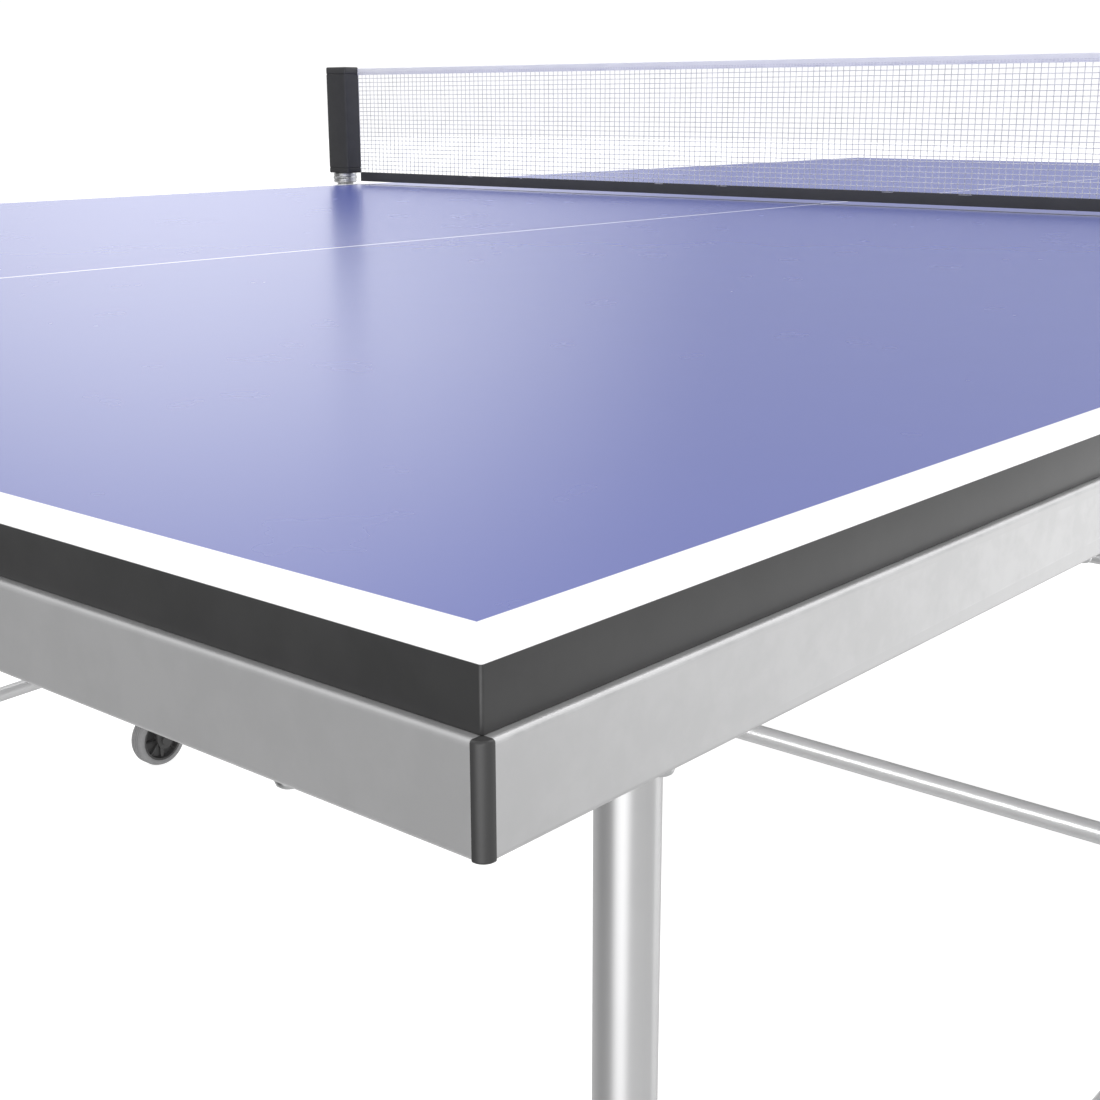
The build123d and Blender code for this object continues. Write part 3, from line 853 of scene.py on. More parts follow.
def scatter_tree() -> PatternTree:
    """Tree that puts one small shape on every place, aimed and turned.

    Returns:
        The tree.
    """
    pattern = PatternTree("Set on places", (
        ("Shape", "NodeSocketObject", None), ("Size", "NodeSocketFloat", 1.0),
        ("Turn", "NodeSocketFloat", 0.0), ("Seed", "NodeSocketInt", 3),
        ("Material", "NodeSocketMaterial", None)))
    graph, given = pattern.graph, pattern.given
    shape = graph.add("GeometryNodeObjectInfo")
    graph.feed(shape.inputs["Object"], given["Shape"])
    aim = graph.add("GeometryNodeInputNamedAttribute", data_type="FLOAT_VECTOR")
    aim.inputs["Name"].default_value = "aim"
    aimed = graph.add("FunctionNodeEulerToRotation")
    graph.feed(aimed.inputs[0], aim.outputs["Attribute"])
    chance = graph.add("FunctionNodeRandomValue", data_type="FLOAT")
    turn_end = [s for s in chance.inputs if s.name == "Max" and s.type == "VALUE"][0]
    graph.feed(turn_end, given["Turn"])
    graph.feed(chance.inputs["Seed"], given["Seed"])
    spin = graph.add("ShaderNodeCombineXYZ")
    value = [s for s in chance.outputs if s.type == "VALUE"][0]
    graph.feed(spin.inputs["Z"], value)
    spun = graph.add("FunctionNodeEulerToRotation")
    graph.feed(spun.inputs[0], spin.outputs[0])
    both = graph.add("FunctionNodeRotateRotation", rotation_space="LOCAL")
    graph.feed(both.inputs[0], aimed.outputs[0])
    graph.feed(both.inputs[1], spun.outputs[0])
    size = graph.add("ShaderNodeCombineXYZ")
    for axis in range(3):
        graph.feed(size.inputs[axis], given["Size"])
    put = graph.add("GeometryNodeInstanceOnPoints")
    graph.feed(put.inputs["Points"], given["Geometry"])
    graph.feed(put.inputs["Instance"], shape.outputs["Geometry"])
    graph.feed(put.inputs["Rotation"], both.outputs[0])
    graph.feed(put.inputs["Scale"], size.outputs[0])
    pattern.close(put.outputs[0])
    return pattern


def net_tree() -> PatternTree:
    """Tree that lays the crossing threads of the net.

    Returns:
        The tree.
    """
    pattern = PatternTree("Net threads", (
        ("Width", "NodeSocketFloat", 1.5), ("Bottom", "NodeSocketFloat", 0.77),
        ("Top", "NodeSocketFloat", 0.9), ("Cell Width", "NodeSocketFloat", 0.009),
        ("Cell Height", "NodeSocketFloat", 0.0065), ("Thread Radius", "NodeSocketFloat", 0.0004),
        ("Sway", "NodeSocketFloat", 0.0006), ("Seed", "NodeSocketFloat", 4.0),
        ("Material", "NodeSocketMaterial", None)))
    graph, given = pattern.graph, pattern.given
    half = graph.math("MULTIPLY", given["Width"], 0.5)
    left = graph.math("MULTIPLY", half, -1.0)
    middle = graph.math("MULTIPLY", graph.math("ADD", given["Bottom"], given["Top"]), 0.5)
    tall = graph.math("SUBTRACT", given["Top"], given["Bottom"])
    runs = ((given["Width"], given["Cell Width"], "Y", "Z", tall, 24),
            (tall, given["Cell Height"], "Z", "Y", given["Width"], 170))
    threads = []
    for span, cell, spread_axis, run_axis, length, points in runs:
        count = graph.math("FLOOR", graph.math("DIVIDE", span, cell))
        step = graph.math("DIVIDE", span, count)
        row = graph.add("GeometryNodeMeshLine", mode="OFFSET")
        graph.feed(row.inputs["Count"], graph.math("ADD", count, 1.0))
        first = graph.add("ShaderNodeCombineXYZ")
        side = 0.0003 if run_axis == "Z" else -0.0003
        first.inputs["X"].default_value = side
        graph.feed(first.inputs["Y"], left if spread_axis == "Y" else 0.0)
        graph.feed(first.inputs["Z"], middle if spread_axis == "Y" else given["Bottom"])
        offset = graph.add("ShaderNodeCombineXYZ")
        graph.feed(offset.inputs[spread_axis], step)
        graph.feed(row.inputs["Start Location"], first.outputs[0])
        graph.feed(row.inputs["Offset"], offset.outputs[0])
        reach = graph.math("MULTIPLY", length, 0.5)
        ends = []
        for sign in (-1.0, 1.0):
            end = graph.add("ShaderNodeCombineXYZ")
            graph.feed(end.inputs[run_axis], graph.math("MULTIPLY", reach, sign))
            ends.append(end.outputs[0])
        line = graph.add("GeometryNodeCurvePrimitiveLine")
        graph.feed(line.inputs["Start"], ends[0])
        graph.feed(line.inputs["End"], ends[1])
        fine = graph.add("GeometryNodeResampleCurve")
        graph.feed(fine.inputs["Curve"], line.outputs[0])
        graph.feed(fine.inputs["Count"], points)
        put = graph.add("GeometryNodeInstanceOnPoints")
        graph.feed(put.inputs["Points"], row.outputs[0])
        graph.feed(put.inputs["Instance"], fine.outputs[0])
        threads.append(put.outputs[0])
    join = graph.add("GeometryNodeJoinGeometry")
    for thread in threads:
        graph.feed(join.inputs[0], thread)
    real = graph.add("GeometryNodeRealizeInstances")
    graph.feed(real.inputs[0], join.outputs[0])
    wander = graph.add("ShaderNodeTexNoise", noise_dimensions="4D")
    graph.feed(wander.inputs["Vector"], graph.add("GeometryNodeInputPosition").outputs[0])
    graph.feed(wander.inputs["W"], given["Seed"])
    wander.inputs["Scale"].default_value = 55.0
    centred = graph.add("ShaderNodeVectorMath", operation="SUBTRACT")
    graph.feed(centred.inputs[0], wander.outputs["Color"])
    centred.inputs[1].default_value = (0.5, 0.5, 0.5)
    shift = graph.add("ShaderNodeVectorMath", operation="SCALE")
    graph.feed(shift.inputs[0], centred.outputs[0])
    graph.feed(shift.inputs["Scale"], given["Sway"])
    move = graph.add("GeometryNodeSetPosition")
    graph.feed(move.inputs["Geometry"], real.outputs[0])
    graph.feed(move.inputs["Offset"], shift.outputs[0])
    ring = graph.add("GeometryNodeCurvePrimitiveCircle")
    ring.inputs["Resolution"].default_value = 5
    graph.feed(ring.inputs["Radius"], given["Thread Radius"])
    skin = graph.add("GeometryNodeCurveToMesh")
    graph.feed(skin.inputs["Curve"], move.outputs[0])
    graph.feed(skin.inputs["Profile Curve"], ring.outputs[0])
    skin.inputs["Fill Caps"].default_value = True
    pattern.close(skin.outputs[0])
    return pattern


@dataclass
class Places:
    """Spots for a repeated shape, each with the way it points."""

    name: str
    points: list[Vector]
    aims: list[Vector]

    def mesh(self) -> bpy.types.Mesh:
        """Returns the spots as loose vertices with an aim attribute."""
        data = bpy.data.meshes.new(self.name)
        data.from_pydata(self.points, [], [])
        aim = data.attributes.new("aim", "FLOAT_VECTOR", "POINT")
        for spot, direction in zip(aim.data, self.aims):
            turn = Vector((0, 0, 1)).rotation_difference(direction)
            spot.vector = turn.to_euler()
        return data


def ring_places(name: str, centre: Point, axis: Vector, radius: float, count: int,
                outward: bool = True) -> Places:
    """Evenly spaced spots on a circle.

    Args:
        name: Name of the set.
        centre: Centre of the circle.
        axis: Its axis.
        radius: Its radius.
        count: Number of spots.
        outward: True if the shapes point outwards, False if they point along the axis.

    Returns:
        The spots.
    """
    turn = Vector((0, 0, 1)).rotation_difference(axis).to_matrix()
    points, aims = [], []
    for step in range(count):
        angle = 2 * math.pi * step / count
        out = turn @ Vector((math.cos(angle), math.sin(angle), 0))
        points.append(Vector(centre) + out * radius)
        aims.append(out if outward else Vector(axis))
    return Places(name, points, aims)


class Details:
    """The small shapes that are repeated, and the trees that repeat them."""

    def __init__(self) -> None:
        """Builds the trees."""
        self.scatter = scatter_tree()
        self.net = net_tree()
        self.samples: dict[str, bpy.types.Object] = {}

    def sample(self, name: str, build: Callable[[Maker], None]) -> bpy.types.Object:
        """Returns a hidden shape, built on first use.

        Args:
            name: Name of the shape.
            build: Adds its faces to a maker.

        Returns:
            The hidden object.
        """
        if name not in self.samples:
            maker = Maker()
            build(maker)
            bmesh.ops.recalc_face_normals(maker.mesh, faces=maker.mesh.faces)
            data = bpy.data.meshes.new(name)
            maker.mesh.to_mesh(data)
            maker.mesh.free()
            self.samples[name] = bpy.data.objects.new(name, data)
        return self.samples[name]

    def set_out(self, name: str, places: Places, shape: bpy.types.Object, finish: Finish,
                turn: float = 0.0, seed: int = 3) -> bpy.types.Object:
        """Puts a shape on every spot.

        Args:
            name: Name of the new piece.
            places: The spots.
            shape: The shape, from sample().
            finish: Its finish.
            turn: Largest random turn about the aim.
            seed: Seed of the random turns.

        Returns:
            The new piece.
        """
        return self.scatter.run(name, places.mesh(), finish, Shape=shape, Turn=turn, Seed=seed)


def screw_shape(maker: Maker) -> None:
    """Pan-head screw with a washer and a cross recess, pointing along +Z.

    Args:
        maker: Gathers the faces.
    """
    rows = ((0.0042, 0.0), (0.0045, 0.0002), (0.0045, 0.0009), (0.0043, 0.0011),
            (0.0036, 0.0011), (0.0036, 0.0026), (0.0032, 0.0036), (0.0025, 0.0041),
            (0.0018, 0.0042), (0.0016, 0.0030), (0.0, 0.0026))
    arms = {8: (0.0021, 0.0008), 9: (0.0017, 0.0006)}

    def cross(row: int, angle: float) -> float:
        """Radius of a point of the head; the last rows make the four arms."""
        if row not in arms:
            return rows[row][0]
        wide, narrow = arms[row]
        return wide if round(angle / (math.pi / 8)) % 4 == 0 else narrow

    maker.turned(rows, (0, 0, 0), (0, 0, 1), 16, shape=cross)


def rib_block(length: float, width: float, height: float) -> Callable[[Maker], None]:
    """Ridge with a rounded back, along X, standing on the surface.

    Args:
        length: Its length.
        width: Its width.
        height: Its height.

    Returns:
        A function that adds it to a maker.
    """
    def build(maker: Maker) -> None:
        """Adds the ridge."""
        loops = []
        for x in (-length / 2, length / 2):
            loop = []
            for step in range(7):
                angle = math.pi * step / 6
                loop.append(Vector((x, width / 2 * math.cos(angle), height * math.sin(angle))))
            loops.append(loop)
        maker.bridge(loops)

    return build


# ---- sub-assemblies -----------------------------------------------------------------
@dataclass
class TableTop:
    """One half of the table: board, band, rails, covers, screws and brackets."""

    half: Half
    details: Details
    half_length: float = 1.370
    half_width: float = 0.7625
    top: float = 0.760
    thickness: float = 0.016
    inner: float = 0.003
    band: float = 0.002
    band_edge: float = 0.0004
    band_corner: float = 0.0009
    rail_height: float = 0.028
    rail_proud: float = 0.003
    screw_inset: float = 0.008
    screw_pitch: float = 0.250
    screw_margin: float = 0.072

    @property
    def body(self) -> str:
        """Name of this half's body."""
        return "half_" + self.half.letter

    def build(self) -> None:
        """Builds and dresses the half."""
        self.dress_board()
        self.build_band()
        self.build_rails()
        self.build_screws()

    def dress_board(self) -> None:
        """Puts the playing finish on the board."""
        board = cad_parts[self.body + "_board"]
        board.data.materials.clear()
        board.data.materials.append(TOP.material())
        LOG.info("%s keeps its CAD mesh", board.name)

    def build_band(self) -> None:
        """Builds the edge band as one ring with fine rounded edges."""
        sign = self.half.value
        ends = sorted((sign * self.half_length, sign * self.inner))
        low, high = (ends[0], -self.half_width), (ends[1], self.half_width)
        base, edge = self.top - self.thickness, self.band_edge
        section = [(self.band, base), (edge, base), (edge * 0.3, base + edge * 0.3),
                   (0.0, base + edge), (0.0, self.top - edge),
                   (edge * 0.3, self.top - edge * 0.3), (edge, self.top),
                   (self.band, self.top)]
        maker = Maker()
        maker.bridge([rounded_ring(low, high, inset, self.band_corner, z)
                      for inset, z in section], closed=True)
        name = self.body + "_edge_band"
        attach(maker.piece(name + "_ring", BAND), self.body, BAND, name)

    def build_rails(self) -> None:
        """Refines the rails, the corner covers and the brackets."""
        for part, finish, rounding in (("side_rails", RAIL, 0.0003), ("end_rail", RAIL, 0.0003),
                                       ("inner_rail", RAIL, 0.0008),
                                       ("corner_covers", MOULDED, 0.0),
                                       ("fold_brackets", ZINC, 0.0005),
                                       ("leg_brackets", ZINC, 0.0005),
                                       ("leg_pins", ZINC, 0.0006)):
            refined(f"{self.body}_{part}", finish, self.body, rounding)

    def screw_places(self) -> Places:
        """Returns the screws' spots under the rails."""
        sign, inset = self.half.value, self.screw_inset
        out_x, out_y = self.half_length + self.rail_proud, self.half_width + self.rail_proud
        level = self.top - self.thickness - self.rail_height
        points = []
        x = -out_x + self.screw_margin
        while x < -self.inner - self.screw_margin:
            points += [Vector((-sign * x, side * (out_y - inset), level)) for side in (-1, 1)]
            x += self.screw_pitch
        y = out_y - self.screw_margin
        while y > 0:
            points += [Vector((sign * (out_x - inset), side * y, level)) for side in (-1, 1)]
            y -= self.screw_pitch
        return Places(self.body + "_screw_spots", points, [Vector((0, 0, -1))] * len(points))

    def build_screws(self) -> None:
        """Sets the screws under the rails."""
        shape = self.details.sample("pan_head_screw", screw_shape)
        screws = self.details.set_out(self.body + "_pan_screws", self.screw_places(), shape,
                                      ZINC, turn=math.pi, seed=11)
        attach(screws, self.body, ZINC, self.body + "_rail_screws")


@dataclass
class LegSet:
    """The two legs of one half with their bars, plugs, lugs and levelling feet."""

    half: Half
    details: Details
    leg_x: float = 1.120
    leg_y: float = 0.607
    foot_radius: float = 0.021
    foot_height: float = 0.015
    stem_radius: float = 0.005
    stem_top: float = 0.046
    thread_pitch: float = 0.0012
    grip_ribs: int = 28

    def build(self) -> None:
        """Builds and dresses the legs and feet."""
        body = "legs_" + self.half.letter
        for part, finish, rounding in (("tubes", TUBE, 0.0), ("bars", TUBE, 0.0),
                                       ("rod_lugs", ZINC, 0.0006),
                                       ("foot_plugs", MOULDED, 0.0005)):
            refined(f"{body}_{part}", finish, body, rounding)
        for side in Side:
            self.build_foot(side)
        rods = "link_rods_" + self.half.letter
        refined(rods, TUBE, rods, 0.0)

    def build_foot(self, side: Side) -> None:
        """Builds one levelling foot with its threaded stem and grip ribs.

        Args:
            side: Which side of the table.
        """
        body = f"foot_{self.half.letter}_{side.word}"
        x, y = self.half.value * self.leg_x, side.value * self.leg_y
        core = self.foot_radius - 0.0007
        rows = [(0.0, 0.0), (core - 0.0018, 0.0), (core, 0.0016), (core, self.foot_height - 0.006)]
        for step in range(1, 7):
            angle = math.radians(15 * step)
            rows.append((core - 0.006 + 0.006 * math.cos(angle),
                         self.foot_height - 0.006 + 0.006 * math.sin(angle)))
        rows += [(self.stem_radius + 0.0035, self.foot_height),
                 (self.stem_radius + 0.003, self.foot_height + 0.0008),
                 (self.stem_radius, self.foot_height + 0.0008)]
        z = self.foot_height + 0.0012
        while z < self.stem_top - self.thread_pitch:
            rows += [(self.stem_radius - 0.0005, z), (self.stem_radius, z + self.thread_pitch / 2)]
            z += self.thread_pitch
        rows += [(self.stem_radius - 0.0006, self.stem_top), (0.0, self.stem_top)]
        maker = Maker()
        maker.turned(rows, (x, y, 0), (0, 0, 1), 48)
        attach(maker.piece(body + "_pad", FOOT, 30.0), body, FOOT, body)
        shape = self.details.sample("foot_rib", upright_rib(0.0012, 0.0009, 0.0066))
        spots = ring_places(body + "_rib_spots", (x, y, 0.0053), Vector((0, 0, 1)),
                            core - 0.0003, self.grip_ribs)
        attach(self.details.set_out(body + "_ribs", spots, shape, FOOT), body, FOOT)


def upright_rib(width: float, height: float, length: float) -> Callable[[Maker], None]:
    """Small grip ridge that stands out along +Z and runs along the world's upright.

    Args:
        width: Its width.
        height: How far it stands out.
        length: Its length.

    Returns:
        A function that adds it to a maker.
    """
    def build(maker: Maker) -> None:
        """Adds the ridge as a low dome with a pointed outline."""
        rows = ((1.0, 0.0), (0.85, height * 0.6), (0.5, height), (0.0, height))
        loops = []
        for share, z in rows:
            if share == 0:
                loops.append([Vector((0, 0, z))])
                continue
            loop = []
            for step in range(8):
                angle = 2 * math.pi * step / 8
                loop.append(Vector((length / 2 * share * math.cos(angle),
                                    width / 2 * share * math.sin(angle), z)))
            loops.append(loop)
        maker.bridge(loops)

    return build


@dataclass
class Castor:
    """One castor: fork, tyre, hub with spokes."""

    half: Half
    side: Side
    details: Details
    swivel_x: float = 0.398
    frame_y: float = 0.7785
    trail: float = 0.020
    radius: float = 0.0375
    width: float = 0.024
    bore: float = 0.00405
    spokes: int = 8
    spoke_ring: float = 0.0182

    @property
    def stem(self) -> str:
        """Start of the names of this castor's bodies."""
        return f"castor_{self.half.letter}_{self.side.word}"

    @property
    def centre(self) -> Point:
        """Centre of the wheel."""
        return (self.half.value * (self.swivel_x - self.trail), self.side.value * self.frame_y,
                self.radius)

    def build(self) -> None:
        """Builds the castor's pieces."""
        fork = self.stem + "_fork"
        refined(fork, CASTOR, fork, 0.0008)
        self.build_tyre()
        self.build_hub()

    def build_tyre(self) -> None:
        """Builds the tyre with a rounded tread and three grooves."""
        edge, half = self.radius, self.width / 2
        groove, lip = 0.0008, 0.0004
        outer = [(edge - 0.0055, -half), (edge - 0.0035, -half + 0.0003),
                 (edge - 0.0012, -half + 0.0018), (edge, -half + 0.005)]
        for middle in (-0.004, 0.0, 0.004):
            outer += [(edge, middle - groove), (edge - groove, middle - lip),
                      (edge - groove, middle + lip), (edge, middle + groove)]
        outer += [(edge, half - 0.005), (edge - 0.0012, half - 0.0018),
                  (edge - 0.0035, half - 0.0003), (edge - 0.0055, half)]
        inner = [(edge - 0.0075, half - 0.0008), (edge - 0.0075, -half + 0.0008)]
        maker = Maker()
        maker.turned(outer + inner, self.centre, (0, 1, 0), 64, closed=True)
        body = self.stem + "_wheel"
        attach(maker.piece(self.stem + "_tyre", TYRE, 30.0), body, TYRE, body)

    def build_hub(self) -> None:
        """Builds the hub disc, its rim and boss, and its spokes."""
        rim, half = self.radius - 0.0077, self.width / 2
        rows = [(self.bore, -half), (0.0088, -half), (0.0096, -half + 0.0008),
                (0.0104, -half + 0.0075), (rim - 0.004, -half + 0.0075),
                (rim - 0.0026, -half + 0.0012), (rim - 0.002, -half + 0.0008),
                (rim, -half + 0.0008)]
        rows += [(radius, -height) for radius, height in reversed(rows)]
        maker = Maker()
        maker.turned(rows, self.centre, (0, 1, 0), 48, closed=True)
        body = self.stem + "_wheel"
        attach(maker.piece(self.stem + "_hub", CASTOR, 30.0), body, CASTOR)
        shape = self.details.sample("wheel_spoke", spoke_shape)
        points, aims = [], []
        for face in (-1, 1):
            spots = ring_places("", self.centre, Vector((0, 1, 0)), self.spoke_ring,
                                self.spokes)
            points += [spot + Vector((0, face * (half - 0.0055), 0)) for spot in spots.points]
            aims += spots.aims
        spots = Places(self.stem + "_spoke_spots", points, aims)
        attach(self.details.set_out(self.stem + "_spokes", spots, shape, CASTOR), body, CASTOR)


def spoke_shape(maker: Maker) -> None:
    """Short stiffening spoke that runs along +Z, the way it is aimed.

    Args:
        maker: Gathers the faces.
    """
    loops = []
    for z, share in ((-0.0088, 1.0), (0.0, 0.8), (0.0088, 1.0)):
        loops.append([Vector((0.0012 * share * math.cos(math.pi * step / 4),
                              0.0026 * math.sin(math.pi * step / 4), z)) for step in range(8)])
    maker.bridge(loops)


@dataclass
class Trolley:
    """The rolling frame in the middle, with its pins, plugs and lock plungers."""

    details: Details
    fold_x: float = 0.398
    fold_z: float = 0.728
    frame_y: float = 0.7785
    plunger_offset: float = 0.034
    rail_face: float = 0.7655
    plunger_gap: float = 0.0008
    pin_radius: float = 0.004
    knob_radius: float = 0.013
    knob_length: float = 0.012
    knob_ribs: int = 16
    carrier_out: float = 0.005

    def build(self) -> None:
        """Builds and dresses the trolley."""
        for part, finish, rounding in (("base_tubes", TUBE, 0.0), ("base_plugs", MOULDED, 0.0006),
                                       ("fold_posts", TUBE, 0.0), ("fold_pins", ZINC, 0.0006),
                                       ("net_columns", TUBE, 0.0), ("cross_tubes", TUBE, 0.0),
                                       ("rod_lugs", ZINC, 0.0004),
                                       ("castor_sockets", CASTOR, 0.0006),
                                       ("lock_carriers", ZINC, 0.0005)):
            refined("trolley_" + part, finish, "trolley", rounding)
        for half in Half:
            self.build_plunger(half)

    def build_plunger(self, half: Half) -> None:
        """Builds one pull knob with its pin and grip ribs.

        Args:
            half: Which half it locks.
        """
        body = "lock_plunger_" + half.letter
        x = half.value * (self.fold_x + self.plunger_offset)
        tip = -self.rail_face - self.plunger_gap
        back = -self.frame_y - self.carrier_out
        length = back - tip
        reach, grip = self.knob_length, self.knob_radius - 0.0007
        rows = [(0.0, 0.0), (self.pin_radius - 0.0008, 0.0), (self.pin_radius, 0.0008),
                (self.pin_radius, -length), (0.0085, -length), (0.0095, -length + 0.0006),
                (0.0098, -length + 0.003), (grip - 0.001, -length + 0.0045),
                (grip, -length + 0.0055), (grip, -length + reach - 0.003)]
        for step in range(1, 5):
            angle = math.radians(22.5 * step)
            rows.append((grip - 0.003 + 0.003 * math.cos(angle),
                         -length + reach - 0.003 + 0.003 * math.sin(angle)))
        rows += [(0.006, -length + reach), (0.0052, -length + reach - 0.0006),
                 (0.0, -length + reach - 0.0008)]
        maker = Maker()
        maker.turned(rows, (x, tip, self.fold_z), (0, -1, 0), 48)
        attach(maker.piece(body + "_knob", KNOB, 30.0), body, KNOB, body)
        shape = self.details.sample("knob_rib", rib_block(0.0045, 0.0016, 0.0010))
        middle = tip + length - reach / 2 - 0.0012
        spots = ring_places(body + "_rib_spots", (x, middle, self.fold_z), Vector((0, -1, 0)),
                            grip - 0.0003, self.knob_ribs)
        attach(self.details.set_out(body + "_ribs", spots, shape, KNOB), body, KNOB)


@dataclass
class Net:
    """Posts, collars, threads, tape and band of the net."""

    details: Details
    table_top: float = 0.760
    # The bottom band starts 4 mm above the top and is 12.5 mm tall, about 3 mm more than the band
    # itself: its lower part is a dark strip of painted shade, the shade under the net.
    clear: float = 0.0040
    collar_clear: float = 0.0015
    height: float = 0.1555
    thickness: float = 0.002
    tape: float = 0.009
    band: float = 0.0125
    fold_cut: float = 0.010
    hem_cut: float = 0.0135
    post_x: float = 0.026
    post_back: float = 0.002
    post_inner: float = 0.7455
    post_width: float = 0.0395
    post_top: float = 0.157
    collar_radius: float = 0.0165
    collar_height: float = 0.014
    knurls: int = 40
    column_y: float = 0.7785
    cell_width: float = 0.0075
    cell_height: float = 0.0055
    thread_radius: float = 0.00042
    stitch_pitch: float = 0.004

    @property
    def bottom(self) -> float:
        """Height of the net's lower edge."""
        return self.table_top + self.clear

    def build(self) -> None:
        """Builds the net's pieces."""
        self.build_posts()
        self.build_collars()
        tape = self.build_strip("net_tape_cloth", self.table_top + self.height - self.tape,
                                self.table_top + self.height, TAPE, "net_top_tape")
        # The bottom band's lower part is painted shade under the net.
        band = self.build_strip("net_band_cloth", self.bottom, self.bottom + self.band, HEM,
                                "net_bottom_band")
        self.build_stitches()
        self.build_threads()

    def build_posts(self) -> None:
        """Builds both moulded posts, with two shadow grooves and a soft top."""
        base = self.table_top + self.collar_clear + self.collar_height
        top = self.table_top + self.post_top
        front, back, groove = self.post_back - self.post_x, self.post_back, 0.0006
        rows = [(0.0012, base), (0.0004, base + 0.0004), (0.0, base + 0.0014),
                (0.0, base + 0.006), (groove, base + 0.0064), (groove, base + 0.0074),
                (0.0, base + 0.0078), (0.0, top - 0.0100), (groove, top - 0.0096),
                (groove, top - 0.0086), (0.0, top - 0.0082), (0.0, top - 0.0018),
                (0.0005, top - 0.0006), (0.0016, top)]
        maker = Maker()
        for side in (-1, 1):
            reach = sorted((side * self.post_inner, side * (self.post_inner + self.post_width)))
            rings = [rounded_ring((front, reach[0]), (back, reach[1]), inset, 0.003, z)
                     for inset, z in rows]
            maker.bridge(rings)
        attach(maker.piece("net_posts_moulded", POST), "trolley", POST, "net_posts")

    def build_collars(self) -> None:
        """Builds both steel collars, with a fine knurl round them."""
        edge, tall = self.collar_radius - 0.0004, self.collar_height
        rows = [(0.0, 0.0), (edge - 0.0016, 0.0), (edge, 0.0016), (edge, 0.003),
                (edge - 0.0006, 0.0034), (edge - 0.0006, tall - 0.0034), (edge, tall - 0.003),
                (edge, tall - 0.0016), (edge - 0.0016, tall), (0.0, tall)]
        maker = Maker()
        points, aims = [], []
        for side in (-1, 1):
            centre = (0.0, side * self.column_y, self.table_top + self.collar_clear)
            maker.turned(rows, centre, (0, 0, 1), 48)
            middle = (centre[0], centre[1], centre[2] + tall / 2)
            spots = ring_places("", middle, Vector((0, 0, 1)), edge - 0.0008, self.knurls)
            points += spots.points
            aims += spots.aims
        attach(maker.piece("net_collars_turned", ZINC, 30.0), "trolley", ZINC, "net_collars")
        shape = self.details.sample("knurl", upright_rib(0.0020, 0.0010, 0.0064))
        spots = Places("knurl_spots", points, aims)
        attach(self.details.set_out("net_collar_knurls", spots, shape, ZINC), "trolley", ZINC)

    def build_strip(self, name: str, low: float, high: float, finish: Finish,
                    node: str) -> bpy.types.Object:
        """Builds a folded strip of tape from post to post.

        Args:
            name: Name of the piece.
            low: Its lower edge.
            high: Its upper edge.
            finish: Its finish.
            node: The CAD node it stands for.

        Returns:
            The new piece.
        """
        half, steps = self.thickness / 2 - 0.0002, 150
        loops = []
        for step in range(steps + 1):
            y = -self.post_inner + 2 * self.post_inner * step / steps
            wave = 0.00012 * math.sin(y * 61.0) + 0.00008 * math.sin(y * 143.0 + 1.0)
            loop = [Vector((wave - half, y, low)), Vector((wave - half, y, high - half))]
            for turn in (135, 90, 45):
                angle = math.radians(turn)
                loop.append(Vector((wave + half * math.cos(angle), y,
                                    high - half + half * math.sin(angle))))
            loop += [Vector((wave + half, y, high - half)), Vector((wave + half, y, low))]
            loops.append(loop)
        maker = Maker()
        maker.bridge(loops)
        return attach(maker.piece(name, finish, 50.0), "trolley", finish, node)

    def build_stitches(self) -> None:
        lower = self.table_top + self.height - self.tape + 0.0018
        points, aims = [], []
        count = int(2 * self.post_inner / self.stitch_pitch) - 1
        for face in (-1, 1):
            for row in (lower, lower + 0.0016):
                for step in range(count):
                    y = -self.post_inner + (step + 1) * self.stitch_pitch
                    points.append(Vector((face * (self.thickness / 2 - 0.0002), y, row)))
                    aims.append(Vector((0, 1, 0)))
        shape = self.details.sample("stitch", stitch_shape)
        stitches = self.details.set_out("net_tape_stitches",
                                        Places("stitch_spots", points, aims), shape, THREAD)
        attach(stitches, "trolley", THREAD)

    def build_threads(self) -> None:
        low, high = self.bottom + self.band, self.table_top + self.height - self.tape
        base = bpy.data.meshes.new("net_base")
        width = 2 * self.post_inner
        threads = self.details.net.run(
            "net_threads", base, CORD, Width=width - 0.001, Bottom=low - 0.001, Top=high + 0.001,
            Cell_Width=self.cell_width, Cell_Height=self.cell_height,
            Thread_Radius=self.thread_radius)
        attach(threads, "trolley", CORD, "net_mesh")
        surface = sum(face.area for face in threads.data.polygons)
        LOG.info("net threads have %.4f square metres of surface", surface)


def stitch_shape(maker: Maker) -> None:
    """One stitch, a short bar that runs the way it is aimed.

    Args:
        maker: Gathers the faces.
    """
    rows = ((0.0, -0.0014), (0.0002, -0.0012), (0.0003, -0.0005), (0.0003, 0.0005),
            (0.0002, 0.0012), (0.0, 0.0014))
    maker.turned(rows, (0, 0, 0), (0, 0, 1), 6)


# ---- studio -------------------------------------------------------------------------
@dataclass(frozen=True)
class Panel:
    """A soft bright or dim patch of the surroundings."""

    direction: Point
    start: float
    end: float
    gain: float


PANELS = (
    Panel((-0.78, 0.50, -0.38), 0.60, 0.95, -0.55),
    Panel((0.95, -0.31, -0.16), 0.84, 1.0, 1.15),
    Panel((-0.92, -0.30, -0.26), 0.84, 1.0, 2.6),
    Panel((0.615, 0.787, 0.05), 0.955, 1.0, 1.1),
    Panel((0.87, 0.49, 0.06), 0.86, 0.99, -0.22),
    Panel((0.73, -0.25, 0.61), 0.90, 1.0, 2.4),
    Panel((-0.25, 0.63, 0.71), 0.90, 1.0, 1.2),
)


